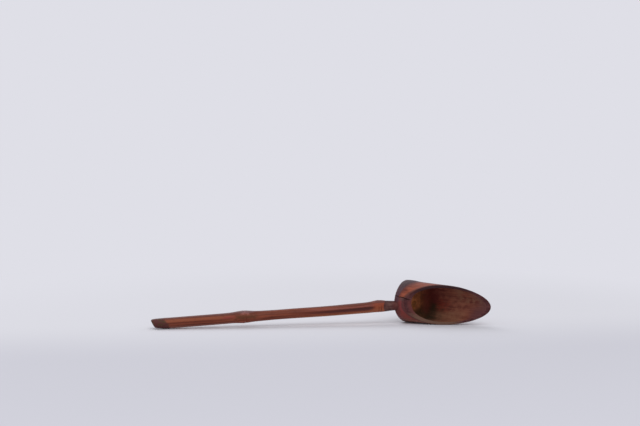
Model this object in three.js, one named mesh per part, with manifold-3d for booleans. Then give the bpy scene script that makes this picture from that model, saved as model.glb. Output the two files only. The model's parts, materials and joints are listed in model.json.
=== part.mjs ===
// A bamboo spoon. The bowl is a short length of bamboo stem, closed at one end by
// the stem's own solid joint and cut away at a slant on the other side. The handle
// is a thinner cane with two joints of its own. Its whittled end is a tapered tenon,
// driven at an angle through the solid joint of the bowl and held by a thin wedge.
//
// Millimetres, +Z up. The spoon lies as it rests on a table: on the side of its bowl
// and the far end of its handle, with the handle along -X and the bowl open to -Y.
//
// Two frames are used below. The stem frame has its origin at the centre of the flat
// cut end, +X along the stem to the tip of the bowl and -Y on the open side. The cane
// frame has its origin where the handle's axis meets that end, with +X into the bowl.

import * as THREE from "three";
import { mergeVertices } from "three/addons/utils/BufferGeometryUtils.js";
import Module from "manifold-3d";

const degrees = Math.PI / 180;

// Bowl, along the stem from its flat cut end
const stemRadius = 17.88;         // outside, at the cut end, without the ridge of the joint
const stemTipRadius = 16.76;      // outside, at the tip: the stem tapers a little
const bowlLength = 76.3;          // cut end to tip
const endRounding = 1.8;          // rounded edge of the cut end
const ridgeHeight = 0.6;          // swelling of the stem at its joint
const ridgeAt = 6;
const ridgeReach = 6.8;
const solidEnd = 13;              // cut end to the floor of the cavity
const floorFillet = 4.5;
const wallAtFloor = 3.3;
const wallAtTip = 1.3;            // the tip is whittled thin

// Slanting cut that opens the bowl
const cutStart = 9.7;             // cut end to the nearest point of the rim
const cutSweep = 0.2;             // 0 is a flat cut, more sweeps the cut out towards the tip
const cutTurn = 6.6 * degrees;    // the opening is turned this much out of the handle's plane

// Handle, along the cane from the bowl's corner to its far end
const handleAngle = 42.2 * degrees;  // between the cane and the stem
const handleInset = 1.05;            // the cane's axis passes this far inside the corner
const handleDrop = 0.7;              // and this far below the middle of the stem
const handleLength = 207.6;
const neckRadius = 4.35;             // where the cane enters the bowl
const neckLength = 8;
const caneRadiusNear = 4.72;         // after the neck
const caneRadiusMiddle = 4.2;        // thinnest place of the first length
const thinBeforeJoint = 27;          // from there to the second joint
const caneRadiusFar = 4.64;
const farTaperLength = 10;           // worn taper at the far end
const farTaper = 0.8;
const farSlant = 26 * degrees;       // the far end is cut this far from square
const caneJoints = [
  { at: 13.8, height: 0.52, before: 4.4, after: 6.4 },
  { at: 131, height: 0.78, before: 7, after: 7 },
];
const lumenRadius = 1.8;             // hollow core, open at the far end
const lumenStop = 5;                 // the core stops this far short of the second joint

// Groove that a bamboo cane has on one side above a joint
const grooveStart = 4;               // from the first joint
const grooveNose = 7;
const grooveLength = 68;
const grooveRadius = 2.3;
const grooveDepth = 0.85;

// Tenon and wedge
const tenonTaper = 0.075;            // radius lost for each millimetre into the bowl
const wedgeLength = 9;
const wedgeThickness = 1.2;          // at the floor of the cavity
const wedgeTip = 0.4;
const fitGap = 0.3;                  // left between the pieces

// Fineness of the faceted surfaces
const stemSides = 72;
const caneSides = 32;
const mergeWithin = 1e-4;
const beyond = 4;                    // how far a cutting body reaches past what it cuts

const wasm = await Module();
wasm.setup();

/** A closed three.js geometry as a solid that can be joined and cut. */
function toSolid(geometry) {
  const bare = geometry.clone();
  bare.deleteAttribute("normal");
  bare.deleteAttribute("uv");
  const merged = mergeVertices(bare, mergeWithin);
  const corners = merged.index.array;
  const triangles = [];
  for (let i = 0; i < corners.length; i += 3) {
    const [a, b, c] = [corners[i], corners[i + 1], corners[i + 2]];
    const collapsed = a === b || b === c || c === a;
    if (!collapsed) {
      triangles.push(a, b, c);
    }
  }
  return new wasm.Manifold(new wasm.Mesh({
    numProp: 3,
    vertProperties: Float32Array.from(merged.attributes.position.array),
    triVerts: Uint32Array.from(triangles),
  }));
}

/** A solid back as a three.js geometry. */
function toGeometry(solid) {
  const { vertProperties, triVerts } = solid.getMesh();
  const geometry = new THREE.BufferGeometry();
  geometry.setAttribute("position", new THREE.BufferAttribute(vertProperties, 3));
  geometry.setIndex(new THREE.BufferAttribute(triVerts, 1));
  geometry.computeVertexNormals();
  return geometry;
}

/** A body turned about the X axis from [x, radius] points that start and end on the axis. */
function turned(profile, sides) {
  const points = profile.map(([x, radius]) => new THREE.Vector2(radius, x));
  return new THREE.LatheGeometry(points, sides).rotateZ(-Math.PI / 2);
}

/** Points of a rounded corner in a profile, from [x, radius - size] to [x + size, radius]. */
function roundedCorner(x, radius, size) {
  const steps = 5;
  return Array.from({ length: steps + 1 }, (_, i) => {
    const turn = (i / steps) * Math.PI / 2;
    return [x + size * (1 - Math.cos(turn)), radius - size * (1 - Math.sin(turn))];
  });
}

/** Height of a swelling at x, with its peak at `at` and its own reach on either side. */
function swelling(x, at, height, before, after) {
  const reach = x < at ? before : after;
  return height * Math.exp(-(((x - at) / reach) ** 2));
}

/** Outer radius of the stem, without its ridge. */
function plainStemRadius(x) {
  return THREE.MathUtils.mapLinear(x, 0, bowlLength, stemRadius, stemTipRadius);
}

/** Outer radius of the stem. */
function stemRadiusAt(x) {
  return plainStemRadius(x) + swelling(x, ridgeAt, ridgeHeight, ridgeReach, ridgeReach);
}

/** Radius of the cavity. */
function cavityRadius(x) {
  const wall = THREE.MathUtils.mapLinear(x, solidEnd, bowlLength, wallAtFloor, wallAtTip);
  return plainStemRadius(x) - wall;
}

/** Where the slanting cut meets the stem at a height y above its axis, along the stem. */
function cutAt(y) {
  const share = (stemRadius + y) / (stemRadius + stemTipRadius);
  const swept = (share + cutSweep * share ** 4) / (1 + cutSweep);
  return cutStart + (bowlLength - cutStart) * swept;
}

/** The length of stem with its rounded end and its ridge, before it is cut open. */
function stemBlank() {
  const profile = [[0, 0], ...roundedCorner(0, stemRadiusAt(endRounding), endRounding)];
  const ridgeEnd = ridgeAt + 2 * ridgeReach;
  const ridgeSteps = 10;
  for (let i = 1; i <= ridgeSteps; i += 1) {
    const x = THREE.MathUtils.lerp(endRounding, ridgeEnd, i / ridgeSteps);
    profile.push([x, stemRadiusAt(x)]);
  }
  const end = bowlLength + beyond;
  profile.push([end, stemRadiusAt(end)], [end, 0]);
  return toSolid(turned(profile, stemSides));
}

/** The hollow of the stem, from its rounded floor out past the tip. */
function cavity() {
  const fillet = roundedCorner(solidEnd, cavityRadius(solidEnd + floorFillet), floorFillet);
  const end = bowlLength + 2 * beyond;
  const profile = [[solidEnd, 0], ...fillet, [end, cavityRadius(end)], [end, 0]];
  return toSolid(turned(profile, stemSides));
}

/** What the slanting cut takes away: everything on the open side of the cut's curve. */
function openingCut() {
  const reach = stemRadius + ridgeHeight + beyond;
  const steps = 14;
  const outline = new THREE.Shape();
  for (let i = 0; i <= steps; i += 1) {
    const y = THREE.MathUtils.lerp(-reach, reach, i / steps);
    if (i === 0) {
      outline.moveTo(cutAt(y), y);
    } else {
      outline.lineTo(cutAt(y), y);
    }
  }
  const end = 2 * bowlLength;
  outline.lineTo(end, reach);
  outline.lineTo(end, -reach);
  const body = new THREE.ExtrudeGeometry(outline, { depth: 2 * reach, bevelEnabled: false });
  return toSolid(body.translate(0, 0, -reach).rotateX(-cutTurn));
}

/** The place of the cane frame in the stem frame. */
function canePlace() {
  const corner = new THREE.Vector3(0, handleInset - stemRadius, -handleDrop);
  return new THREE.Matrix4().makeRotationZ(handleAngle).setPosition(corner);
}

/** How far along the cane's axis the floor of the cavity lies. */
const floorAlongCane = solidEnd / Math.cos(handleAngle);
const tenonReach = floorAlongCane + beyond + neckRadius;

/** Radius of the cane, `along` millimetres from the corner of the bowl, minus inside it. */
function caneRadiusAt(along) {
  const stations = [
    [-tenonReach, neckRadius - tenonTaper * tenonReach],
    [0, neckRadius],
    [neckLength, caneRadiusNear],
    [caneJoints[1].at - thinBeforeJoint, caneRadiusMiddle],
    [caneJoints[1].at, caneRadiusFar],
    [handleLength - farTaperLength, caneRadiusFar],
    [handleLength, caneRadiusFar - farTaper],
    [handleLength + beyond, caneRadiusFar - farTaper],
  ];
  const next = Math.max(1, stations.findIndex(([place]) => place >= along));
  const [[x0, r0], [x1, r1]] = [stations[next - 1], stations[next]];
  const plain = THREE.MathUtils.mapLinear(along, x0, x1, r0, r1);
  const swellings = caneJoints.map(({ at, height, before, after }) =>
    swelling(along, at, height, before, after));
  return plain + swellings.reduce((sum, height) => sum + height, 0);
}

/** The cane as a turned body in the cane frame between two places, made `extra` thicker. */
function caneBody(from, to, extra = 0) {
  const thinnest = caneJoints[1].at - thinBeforeJoint;
  const places = [from, 0, neckLength, thinnest, handleLength - farTaperLength, to];
  const stepsAtJoint = 6;
  for (const { at, before, after } of caneJoints) {
    for (let i = -stepsAtJoint; i <= stepsAtJoint; i += 1) {
      const reach = i < 0 ? before : after;
      places.push(at + 2 * reach * i / stepsAtJoint);
    }
  }
  const kept = places.filter((place) => place >= from && place <= to);
  const ordered = [...new Set(kept)].sort((a, b) => b - a);
  const skin = ordered.map((along) => [-along, caneRadiusAt(along) + extra]);
  return turned([[-to, 0], ...skin, [-from, 0]], caneSides);
}

/** Half the thickness of the wedge, or of its kerf with `gap`, at x in the cane frame. */
function wedgeHalf(x, gap) {
  const tip = floorAlongCane - wedgeLength;
  const thickness = THREE.MathUtils.mapLinear(x, tip, floorAlongCane, wedgeTip, wedgeThickness);
  return thickness / 2 + gap;
}

/** The wedge, or its kerf with `gap` all round, as a tapered slip across the cane. */
function wedgeSlip(gap) {
  const tip = floorAlongCane - wedgeLength - gap;
  const slip = new THREE.Shape();
  slip.moveTo(tip, -wedgeHalf(tip, gap));
  slip.lineTo(tenonReach, -wedgeHalf(tenonReach, gap));
  slip.lineTo(tenonReach, wedgeHalf(tenonReach, gap));
  slip.lineTo(tip, wedgeHalf(tip, gap));
  const width = 2 * (neckRadius + beyond);
  const body = new THREE.ExtrudeGeometry(slip, { depth: width, bevelEnabled: false });
  return toSolid(body.translate(0, 0, -width / 2).rotateX(Math.PI / 2));
}

/** Everything past the floor of the cavity, in the cane frame, where the tenon is cut flush. */
function pastFloor() {
  const size = 4 * tenonReach;
  const body = new THREE.BoxGeometry(size, size, size).translate(solidEnd + size / 2, 0, 0);
  return toSolid(body.applyMatrix4(canePlace().invert()));
}

/** The spindle that leaves the groove in the open side of the cane's first length. */
function groove() {
  const start = caneJoints[0].at + grooveStart;
  const end = start + grooveLength;
  const deepAt = start + grooveNose;
  const offset = caneRadiusAt(deepAt) + grooveRadius - grooveDepth;
  const endOffset = caneRadiusAt(end) + grooveRadius;
  const profile = [
    [-grooveLength, 0],
    [grooveNose - grooveLength, grooveRadius],
    [-grooveNose, grooveRadius],
    [0, 0],
  ];
  const lean = Math.atan((endOffset - offset) / (end - deepAt));
  const body = turned(profile, 20).rotateZ(lean).translate(-start, -offset, 0);
  return toSolid(body);
}

/** The hollow core of the cane, open at its far end. */
function lumen() {
  const from = caneJoints[1].at + lumenStop;
  const to = handleLength + 2 * beyond;
  const profile = [[-to, 0], [-to, lumenRadius], [-from, lumenRadius], [-from, 0]];
  return toSolid(turned(profile, 16));
}

/** What the slanting cut takes off the far end of the cane. */
function farCut() {
  const size = 10 * caneRadiusFar;
  const body = new THREE.BoxGeometry(size, size, size).translate(-size / 2, 0, 0);
  return toSolid(body.rotateY(-farSlant).translate(-handleLength, 0, 0));
}

/** A named mesh of one piece, with its bamboo finish. */
function piece(name, solid, color, roughness) {
  const finish = new THREE.MeshStandardMaterial({ color, roughness, metalness: 0 });
  const mesh = new THREE.Mesh(toGeometry(solid), finish);
  mesh.name = name;
  return mesh;
}

/** The bowl in the stem frame, with the tapered hole for the tenon. */
function makeBowl() {
  const hole = caneBody(-tenonReach, neckLength, fitGap).applyMatrix4(canePlace());
  const shell = stemBlank().subtract(cavity()).subtract(openingCut());
  return piece("bowl", shell.subtract(toSolid(hole)), 0x7a4738, 0.5);
}

/** The handle in the cane frame, with its tenon cut flush and slit for the wedge. */
function makeHandle() {
  const cane = toSolid(caneBody(-tenonReach, handleLength + beyond))
    .subtract(pastFloor())
    .subtract(wedgeSlip(fitGap))
    .subtract(groove())
    .subtract(lumen())
    .subtract(farCut());
  return piece("handle", cane, 0x84503d, 0.45);
}

/** The wedge in the cane frame, as wide as the tenon and cut flush with its end. */
function makeWedge() {
  const tenon = toSolid(caneBody(-tenonReach, 0));
  const wedge = wedgeSlip(0).intersect(tenon).subtract(pastFloor());
  return piece("tenon_wedge", wedge, 0x6a4428, 0.7);
}

const cane = new THREE.Group();
cane.applyMatrix4(canePlace());
cane.add(makeHandle(), makeWedge());

// The stem rests on its ridge and on the lowest point of its rim, which sets its slope
const rimLow = cutAt(stemRadius * Math.sin(cutTurn));
const slope = Math.atan((stemRadiusAt(ridgeAt) - stemRadiusAt(rimLow)) / (rimLow - ridgeAt));
const stemHeight = ridgeAt * Math.sin(slope) + stemRadiusAt(ridgeAt) * Math.cos(slope);

// It rolls towards its open side until the far end of the handle touches the table
const restAt = handleLength - farTaperLength;
const restX = -restAt * Math.cos(handleAngle);
const restY = handleInset - stemRadius - restAt * Math.sin(handleAngle);
const drop = stemHeight - handleDrop - restX * Math.sin(slope) - caneRadiusFar;
const roll = Math.asin(drop / (-restY * Math.cos(slope)));

const rolled = new THREE.Group();
rolled.rotation.x = roll;
rolled.add(makeBowl(), cane);

const sloped = new THREE.Group();
sloped.rotation.y = slope;
sloped.add(rolled);

// The cane's own direction on the table becomes the X axis
const headX = Math.cos(handleAngle) * Math.cos(slope)
  + Math.sin(handleAngle) * Math.sin(roll) * Math.sin(slope);
const headY = Math.sin(handleAngle) * Math.cos(roll);
const turnedToHandle = new THREE.Group();
turnedToHandle.rotation.z = -Math.atan2(headY, headX);
turnedToHandle.add(sloped);

const spoon = new THREE.Group();
spoon.add(turnedToHandle);
const box = new THREE.Box3().setFromObject(spoon, true);
const centre = box.getCenter(new THREE.Vector3());
turnedToHandle.position.set(-centre.x, -centre.y, -box.min.z);

export default spoon;
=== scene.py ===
"""A bamboo spoon as it lies on a table: the bowl, the cane handle and the wedge in its tenon.

The bowl is a short length of bamboo stem, closed by its own joint at one end and cut open
at a slant. The handle is a thinner cane, whittled to a tenon that goes through the closed
end of the bowl at an angle.

The shapes are worked out in millimetres in two frames. The stem frame has its origin at
the centre of the flat cut end, +X along the stem to the tip and -Y on the open side. The
cane frame has its origin at the corner of the bowl where the handle enters, with +X into
the bowl. Placement puts both into the shared frame, in metres.
"""

import json
import logging
import math
from abc import ABC, abstractmethod
from dataclasses import dataclass
from enum import Enum
from typing import Any, Mapping, Sequence, Union

import bpy
import numpy as np
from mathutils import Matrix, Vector


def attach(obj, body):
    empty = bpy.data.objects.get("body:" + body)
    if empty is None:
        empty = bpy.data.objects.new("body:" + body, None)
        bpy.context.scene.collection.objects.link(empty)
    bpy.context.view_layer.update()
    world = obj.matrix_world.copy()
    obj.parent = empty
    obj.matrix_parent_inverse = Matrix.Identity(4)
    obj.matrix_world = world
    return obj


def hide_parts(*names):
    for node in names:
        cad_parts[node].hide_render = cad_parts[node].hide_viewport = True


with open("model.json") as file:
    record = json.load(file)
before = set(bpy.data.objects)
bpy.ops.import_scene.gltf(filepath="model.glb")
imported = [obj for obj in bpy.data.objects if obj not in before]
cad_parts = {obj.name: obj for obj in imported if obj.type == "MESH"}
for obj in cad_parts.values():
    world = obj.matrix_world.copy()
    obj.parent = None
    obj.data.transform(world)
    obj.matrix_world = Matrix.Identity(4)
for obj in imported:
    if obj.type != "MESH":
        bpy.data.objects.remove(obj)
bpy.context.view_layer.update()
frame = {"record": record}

Array = np.ndarray

MILLIMETRE = 0.001
FULL_TURN = 2.0 * math.pi
QUARTER_TURN = math.pi / 2.0
SHARP_FROM = math.radians(35.0)

log = logging.getLogger("spoon")


class Surface(Enum):
    """Names of the attributes that say what kind of surface a point lies on."""

    GRAIN = "grain"
    CUT = "cut_face"
    HOLLOW = "hollow"
    END = "sawn_end"
    CRACK = "crack"
    RIM = "rim"
    GROOVE = "groove"
    NECK = "whittled_neck"


def smooth(x: Array, low: float, high: float) -> Array:
    """A step from 0 below `low` to 1 above `high`, with a cubic between them."""
    t = np.clip((x - low) / (high - low), 0.0, 1.0)
    return t * t * (3.0 - 2.0 * t)


def bell(x: Array, at: float, reach: float) -> Array:
    """A bell curve of height 1 at `at`, down to 1/e at `reach` on either side."""
    return np.exp(-(((x - at) / reach) ** 2))


def between(start: Array | float, end: Array | float, steps: int, closed: bool = True) -> Array:
    """Rows that go evenly from one value, or one for each angle, to another.

    Args:
        start: The first row.
        end: Where the rows lead.
        steps: How many rows there are.
        closed: Whether the last row is the end, or falls a step short of it.

    Returns:
        Rows start + t (end - start), with t from 0 to 1 in a column.
    """
    share = np.linspace(0.0, 1.0, steps, endpoint=closed).reshape(-1, 1)
    return start + share * (end - start)


def around(angle: Array, radius: Array, x: Array | float) -> Array:
    """Points round the X axis: angle 0 is at -Y and a quarter turn on is at +Z."""
    angle, radius, x = np.broadcast_arrays(angle, radius, x)
    return np.stack([x, -radius * np.cos(angle), radius * np.sin(angle)], axis=-1)


def round_axis(points: Array) -> tuple[Array, Array, Array]:
    """The place along X of each point, its distance from that axis and its angle round it."""
    x, y, z = points[..., 0], points[..., 1], points[..., 2]
    return x, np.hypot(y, z), np.arctan2(z, -y)


@dataclass(frozen=True)
class Swelling:
    """A swelling in millimetres: a bell curve with its own reach on either side.

    A height of less than nothing makes it a dip.
    """

    at: float
    height: float
    before: float
    after: float

    def rise(self, x: Array) -> Array:
        """The height of the swelling at each x."""
        return self.height * bell(x, self.at, np.where(x < self.at, self.before, self.after))


@dataclass(frozen=True)
class Unevenness:
    """Smooth natural unevenness in space, the same each time for one seed.

    The height at a point p is the sum of sin(k . p + c) over a set of waves, divided by
    the root of half their number, so that it mostly lies between -1 and 1, times a depth.
    """

    seed: int
    lengths: tuple[float, float, float]
    depth: float = 1.0
    waves: int = 14

    def height(self, points: Array) -> Array:
        """The height at each point.

        Args:
            points: Places in a piece's own frame, with three numbers in the last axis.

        Returns:
            One height for each point, in millimetres.
        """
        draw = np.random.default_rng(self.seed)
        directions = draw.normal(0.0, 1.0, (self.waves, 3))
        starts = draw.uniform(0.0, FULL_TURN, self.waves)
        numbers = directions / np.array(self.lengths) * FULL_TURN / math.sqrt(3.0)
        total = np.sin(points @ numbers.T + starts).sum(axis=-1)
        return self.depth * total / math.sqrt(self.waves / 2.0)

    def sunk(self, points: Array) -> Array:
        """The waves upside down and a depth lower, so that they mostly lie below nothing."""
        return -self.depth - self.height(points)


@dataclass(frozen=True)
class Stem:
    """The length of stem that the bowl is cut from, in millimetres."""

    radius: float = 17.88
    tip_radius: float = 16.76
    length: float = 76.3
    end_rounding: float = 1.8
    ridge: Swelling = Swelling(6.0, 0.6, 6.8, 6.8)
    solid_end: float = 13.0
    floor_fillet: float = 4.5
    wall_at_floor: float = 3.3
    wall_at_tip: float = 1.3
    cut_start: float = 9.7
    cut_sweep: float = 0.2
    cut_turn: float = math.radians(6.6)

    def plain_radius(self, x: Array) -> Array:
        """Outer radius without the ridge: a straight taper from the cut end to the tip."""
        return self.radius + (self.tip_radius - self.radius) * x / self.length

    def outer_radius(self, x: Array) -> Array:
        """Outer radius with the ridge of the joint."""
        return self.plain_radius(x) + self.ridge.rise(x)

    def cavity_radius(self, x: Array) -> Array:
        """Radius of the cavity: the plain radius less a wall that thins to the tip."""
        share = (x - self.solid_end) / (self.length - self.solid_end)
        wall = self.wall_at_floor + (self.wall_at_tip - self.wall_at_floor) * share
        return self.plain_radius(x) - wall

    def cut_across(self, angle: Array) -> Array:
        """Height above the axis, for a radius of 1, in the plane of the slanting cut."""
        return -np.cos(angle - self.cut_turn)

    def cut_at(self, height: Array) -> Array:
        """Where the slanting cut lies along the stem, at a height above the axis.

        Args:
            height: Height across the stem in the plane of the cut, from the open side.

        Returns:
            The place along the stem: a straight rise with a share of a fourth power.
        """
        share = (self.radius + height) / (self.radius + self.tip_radius)
        swept = (share + self.cut_sweep * share**4) / (1.0 + self.cut_sweep)
        return self.cut_start + (self.length - self.cut_start) * swept


@dataclass(frozen=True)
class Cane:
    """The cane of the handle and its tenon, in millimetres from the corner of the bowl."""

    angle: float = math.radians(42.2)
    inset: float = 1.05
    drop: float = 0.7
    length: float = 207.6
    neck_radius: float = 4.35
    neck_length: float = 8.0
    radius_near: float = 4.72
    radius_middle: float = 4.2
    thin_before_joint: float = 27.0
    radius_far: float = 4.64
    far_taper_length: float = 10.0
    far_taper: float = 0.8
    far_slant: float = math.radians(26.0)
    near_joint: Swelling = Swelling(13.8, 0.52, 4.4, 6.4)
    far_joint: Swelling = Swelling(131.0, 0.78, 7.0, 7.0)
    lumen_radius: float = 1.8
    lumen_stop: float = 5.0
    groove_start: float = 4.0
    groove_nose: float = 7.0
    groove_length: float = 68.0
    groove_half_width: float = 1.75
    groove_depth: float = 0.85
    tenon_reach: float = 60.0
    tenon_taper: float = 0.075
    wedge_length: float = 9.0
    wedge_thickness: float = 1.2
    wedge_tip: float = 0.4
    bends: tuple[Swelling, ...] = (
        Swelling(15.0, 0.65, 7.5, 6.0),
        Swelling(58.0, -0.3, 22.0, 22.0),
        Swelling(133.0, 0.4, 11.0, 11.0),
        Swelling(207.6, 0.6, 8.0, 8.0),
    )

    def sway(self, along: Array) -> Array:
        """How far the cane's centre line lies above the straight one, by its gentle bends."""
        return sum(bend.rise(along) for bend in self.bends)

    def radius(self, along: Array) -> Array:
        """Radius of the cane: straight stretches between stations, with both joints' swellings.

        Args:
            along: Distance from the corner of the bowl, minus inside the bowl.

        Returns:
            The radius at each distance.
        """
        stations = (
            (-self.tenon_reach, self.neck_radius - self.tenon_taper * self.tenon_reach),
            (0.0, self.neck_radius),
            (self.neck_length, self.radius_near),
            (self.far_joint.at - self.thin_before_joint, self.radius_middle),
            (self.far_joint.at, self.radius_far),
            (self.length - self.far_taper_length, self.radius_far),
            (self.length, self.radius_far - self.far_taper),
        )
        places, radii = zip(*stations)
        plain = np.interp(along, places, radii)
        return plain + self.near_joint.rise(along) + self.far_joint.rise(along)

    def floor_along(self, stem: Stem) -> float:
        """How far along the cane's axis the floor of the cavity lies."""
        return stem.solid_end / math.cos(self.angle)

    def flush_at(self, stem: Stem, side: Array) -> Array:
        """Where the floor of the cavity cuts the cane, as x for each y in the cane frame."""
        return (stem.solid_end + side * math.sin(self.angle)) / math.cos(self.angle)

    def wedge_half(self, x: Array, stem: Stem) -> Array:
        """Half the thickness of the wedge at x in the cane frame, thickest at the floor."""
        share = (x - self.floor_along(stem) + self.wedge_length) / self.wedge_length
        return (self.wedge_tip + (self.wedge_thickness - self.wedge_tip) * share) / 2.0


def turn_about(axis: int, angle: float) -> Array:
    """The matrix of a turn about one axis, 0 for X, 1 for Y and 2 for Z."""
    first, second = (axis + 1) % 3, (axis + 2) % 3
    matrix = np.eye(3)
    matrix[first, first] = matrix[second, second] = math.cos(angle)
    matrix[second, first] = math.sin(angle)
    matrix[first, second] = -math.sin(angle)
    return matrix


@dataclass(frozen=True)
class Placement:
    """Where a piece's own frame, in millimetres, lies in the shared frame, in metres."""

    origin: Array
    turn: Array

    def to_shared(self, points: Array) -> Array:
        """Points of the piece's own frame in the shared frame."""
        return points * MILLIMETRE @ self.turn.T + self.origin

    def to_own(self, points: Array) -> Array:
        """Points of the shared frame in the piece's own frame."""
        return (points - self.origin) @ self.turn / MILLIMETRE

    def carrying(self, origin: Sequence[float], turn: Array) -> "Placement":
        """The placement of a frame that lies in this one.

        Args:
            origin: The inner frame's origin in this frame, in millimetres.
            turn: The inner frame's turn in this frame.

        Returns:
            The inner frame's own placement in the shared frame.
        """
        return Placement(self.to_shared(np.array(origin)), self.turn @ turn)


@dataclass(frozen=True)
class Lie:
    """How the spoon lies: on the ridge and rim of its bowl and the far end of its handle."""

    stem: Stem
    cane: Cane

    def stem_placement(self, record: Mapping[str, Any]) -> Placement:
        """The stem frame's placement.

        Args:
            record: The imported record, whose mount gives the centre of the cut end.

        Returns:
            The centre of the cut end and the turn of the stem: sloped until the ridge and
            the rim touch the table, rolled until the handle does, then turned so that the
            handle runs along X.
        """
        stem, cane = self.stem, self.cane
        rim = float(stem.cut_at(stem.radius * math.sin(stem.cut_turn)))
        ridge = stem.ridge.at
        ridge_radius, rim_radius = (float(stem.outer_radius(np.array(x))) for x in (ridge, rim))
        slope = math.atan((ridge_radius - rim_radius) / (rim - ridge))
        height = ridge * math.sin(slope) + ridge_radius * math.cos(slope)
        rest = cane.length - cane.far_taper_length
        rest_x = -rest * math.cos(cane.angle)
        rest_y = cane.inset - stem.radius - rest * math.sin(cane.angle)
        fall = height - cane.drop - rest_x * math.sin(slope) - cane.radius_far
        roll = math.asin(fall / (-rest_y * math.cos(slope)))
        tilted = turn_about(1, slope) @ turn_about(0, roll)
        head = tilted @ np.array([math.cos(cane.angle), math.sin(cane.angle), 0.0])
        heading = -math.atan2(head[1], head[0])
        mount = next(m for m in record["mounts"] if m["name"] == "cut_end")
        return Placement(np.array(mount["pos_m"]), turn_about(2, heading) @ tilted)

    def cane_placement(self, stem_placement: Placement) -> Placement:
        """The cane frame's placement: at the corner of the bowl, turned by the handle's angle."""
        corner = (0.0, self.cane.inset - self.stem.radius, -self.cane.drop)
        return stem_placement.carrying(corner, turn_about(2, self.cane.angle))


def corner_curve(start: Array, corner: Array, end: Array, steps: int) -> Array:
    """A rounded corner as a quadratic curve, without its two ends.

    Args:
        start: Points where the rounding starts, one for each angle.
        corner: The sharp corner that it replaces.
        end: Points where the rounding ends.
        steps: How many rings lie between start and end.

    Returns:
        Rings of points (1-t)^2 start + 2t(1-t) corner + t^2 end, for t from 0 to 1.
    """
    t = (np.arange(1, steps + 1) / (steps + 1)).reshape(-1, 1, 1)
    return (1 - t) ** 2 * start + 2 * t * (1 - t) * corner + t**2 * end


def surface_normals(rings: Array) -> Array:
    """Unit normals of a closed grid of rings, from the differences across each point."""
    across = np.roll(rings, -1, axis=1) - np.roll(rings, 1, axis=1)
    along = np.gradient(rings, axis=0)
    normals = np.cross(along, across)
    lengths = np.linalg.norm(normals, axis=-1, keepdims=True)
    return normals / np.maximum(lengths, 1e-12)


def closed_mesh(name: str, rings: Array, placement: Placement) -> bpy.types.Mesh:
    """A closed mesh from rings of points, whose first and last ring shrink to one point.

    Args:
        name: The mesh's name.
        rings: Points as rings x angles x 3, in the piece's own frame.
        placement: Where that frame lies.

    Returns:
        The mesh in the shared frame, with its faces outwards where the rings go towards
        +X on the outside.
    """
    count, sides = rings.shape[0] - 2, rings.shape[1]
    first, last = rings[0].mean(axis=0), rings[-1].mean(axis=0)
    points = np.vstack([rings[1:-1].reshape(-1, 3), first, last])
    ring, side = np.meshgrid(np.arange(count - 1), np.arange(sides), indexing="ij")
    beside = (side + 1) % sides
    here, there = ring * sides, (ring + 1) * sides
    quads = np.stack([here + side, there + side, there + beside, here + beside], axis=-1)
    around_end = np.arange(sides)
    next_side = (around_end + 1) % sides
    top, start, end = (count - 1) * sides, count * sides, count * sides + 1
    caps = [
        np.stack([np.full(sides, start), around_end, next_side], axis=-1),
        np.stack([np.full(sides, end), top + next_side, top + around_end], axis=-1),
    ]
    faces = quads.reshape(-1, 4).tolist() + np.vstack(caps).tolist()
    mesh = bpy.data.meshes.new(name)
    mesh.from_pydata(placement.to_shared(points).tolist(), [], faces)
    mesh.validate()
    return mesh


def add_object(name: str, mesh: bpy.types.Mesh) -> bpy.types.Object:
    """A new object of a mesh in the scene, at the origin."""
    made = bpy.data.objects.new(name, mesh)
    bpy.context.scene.collection.objects.link(made)
    return made


def cut_away(target: bpy.types.Object, cutter: bpy.types.Object) -> None:
    """Takes the space of one closed mesh out of another, and deletes the cutter."""
    cut = target.modifiers.new("cut", "BOOLEAN")
    cut.operation = "DIFFERENCE"
    cut.solver = "MANIFOLD"
    cut.object = cutter
    bpy.context.view_layer.update()
    shaped = target.evaluated_get(bpy.context.evaluated_depsgraph_get())
    mesh = bpy.data.meshes.new_from_object(shaped)
    target.modifiers.clear()
    whole = target.data
    target.data = mesh
    bpy.data.meshes.remove(whole)
    mesh.name = target.name
    bpy.data.objects.remove(cutter)


def mesh_points(mesh: bpy.types.Mesh) -> Array:
    """The places of a mesh's vertices in the shared frame."""
    flat = np.empty(len(mesh.vertices) * 3, np.float32)
    mesh.vertices.foreach_get("co", flat)
    return flat.reshape(-1, 3).astype(float)


def write_masks(mesh: bpy.types.Mesh, masks: Mapping[Surface, Array]) -> None:
    """Puts the grain's coordinates and the surface masks into the mesh's attributes."""
    for kind, values in masks.items():
        flat = values.astype(np.float32).ravel()
        if values.ndim == 2:
            mesh.attributes.new(kind.value, "FLOAT_VECTOR", "POINT").data.foreach_set("vector", flat)
        else:
            mesh.attributes.new(kind.value, "FLOAT", "POINT").data.foreach_set("value", flat)


def shade_smooth(mesh: bpy.types.Mesh) -> None:
    """Smooth shading, with edges left sharp where the faces turn a lot."""
    mesh.polygons.foreach_set("use_smooth", np.ones(len(mesh.polygons), bool))
    mesh.set_sharp_from_angle(angle=SHARP_FROM)
    mesh.update()


def colour(code: str) -> tuple[float, float, float, float]:
    """A colour written as six hexadecimal digits, as the linear values of the shader."""
    shares = [int(code[i : i + 2], 16) / 255.0 for i in (0, 2, 4)]
    linear = [s / 12.92 if s <= 0.04045 else ((s + 0.055) / 1.055) ** 2.4 for s in shares]
    return (*linear, 1.0)


Input = Union["Shade", float, Sequence[float]]


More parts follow.
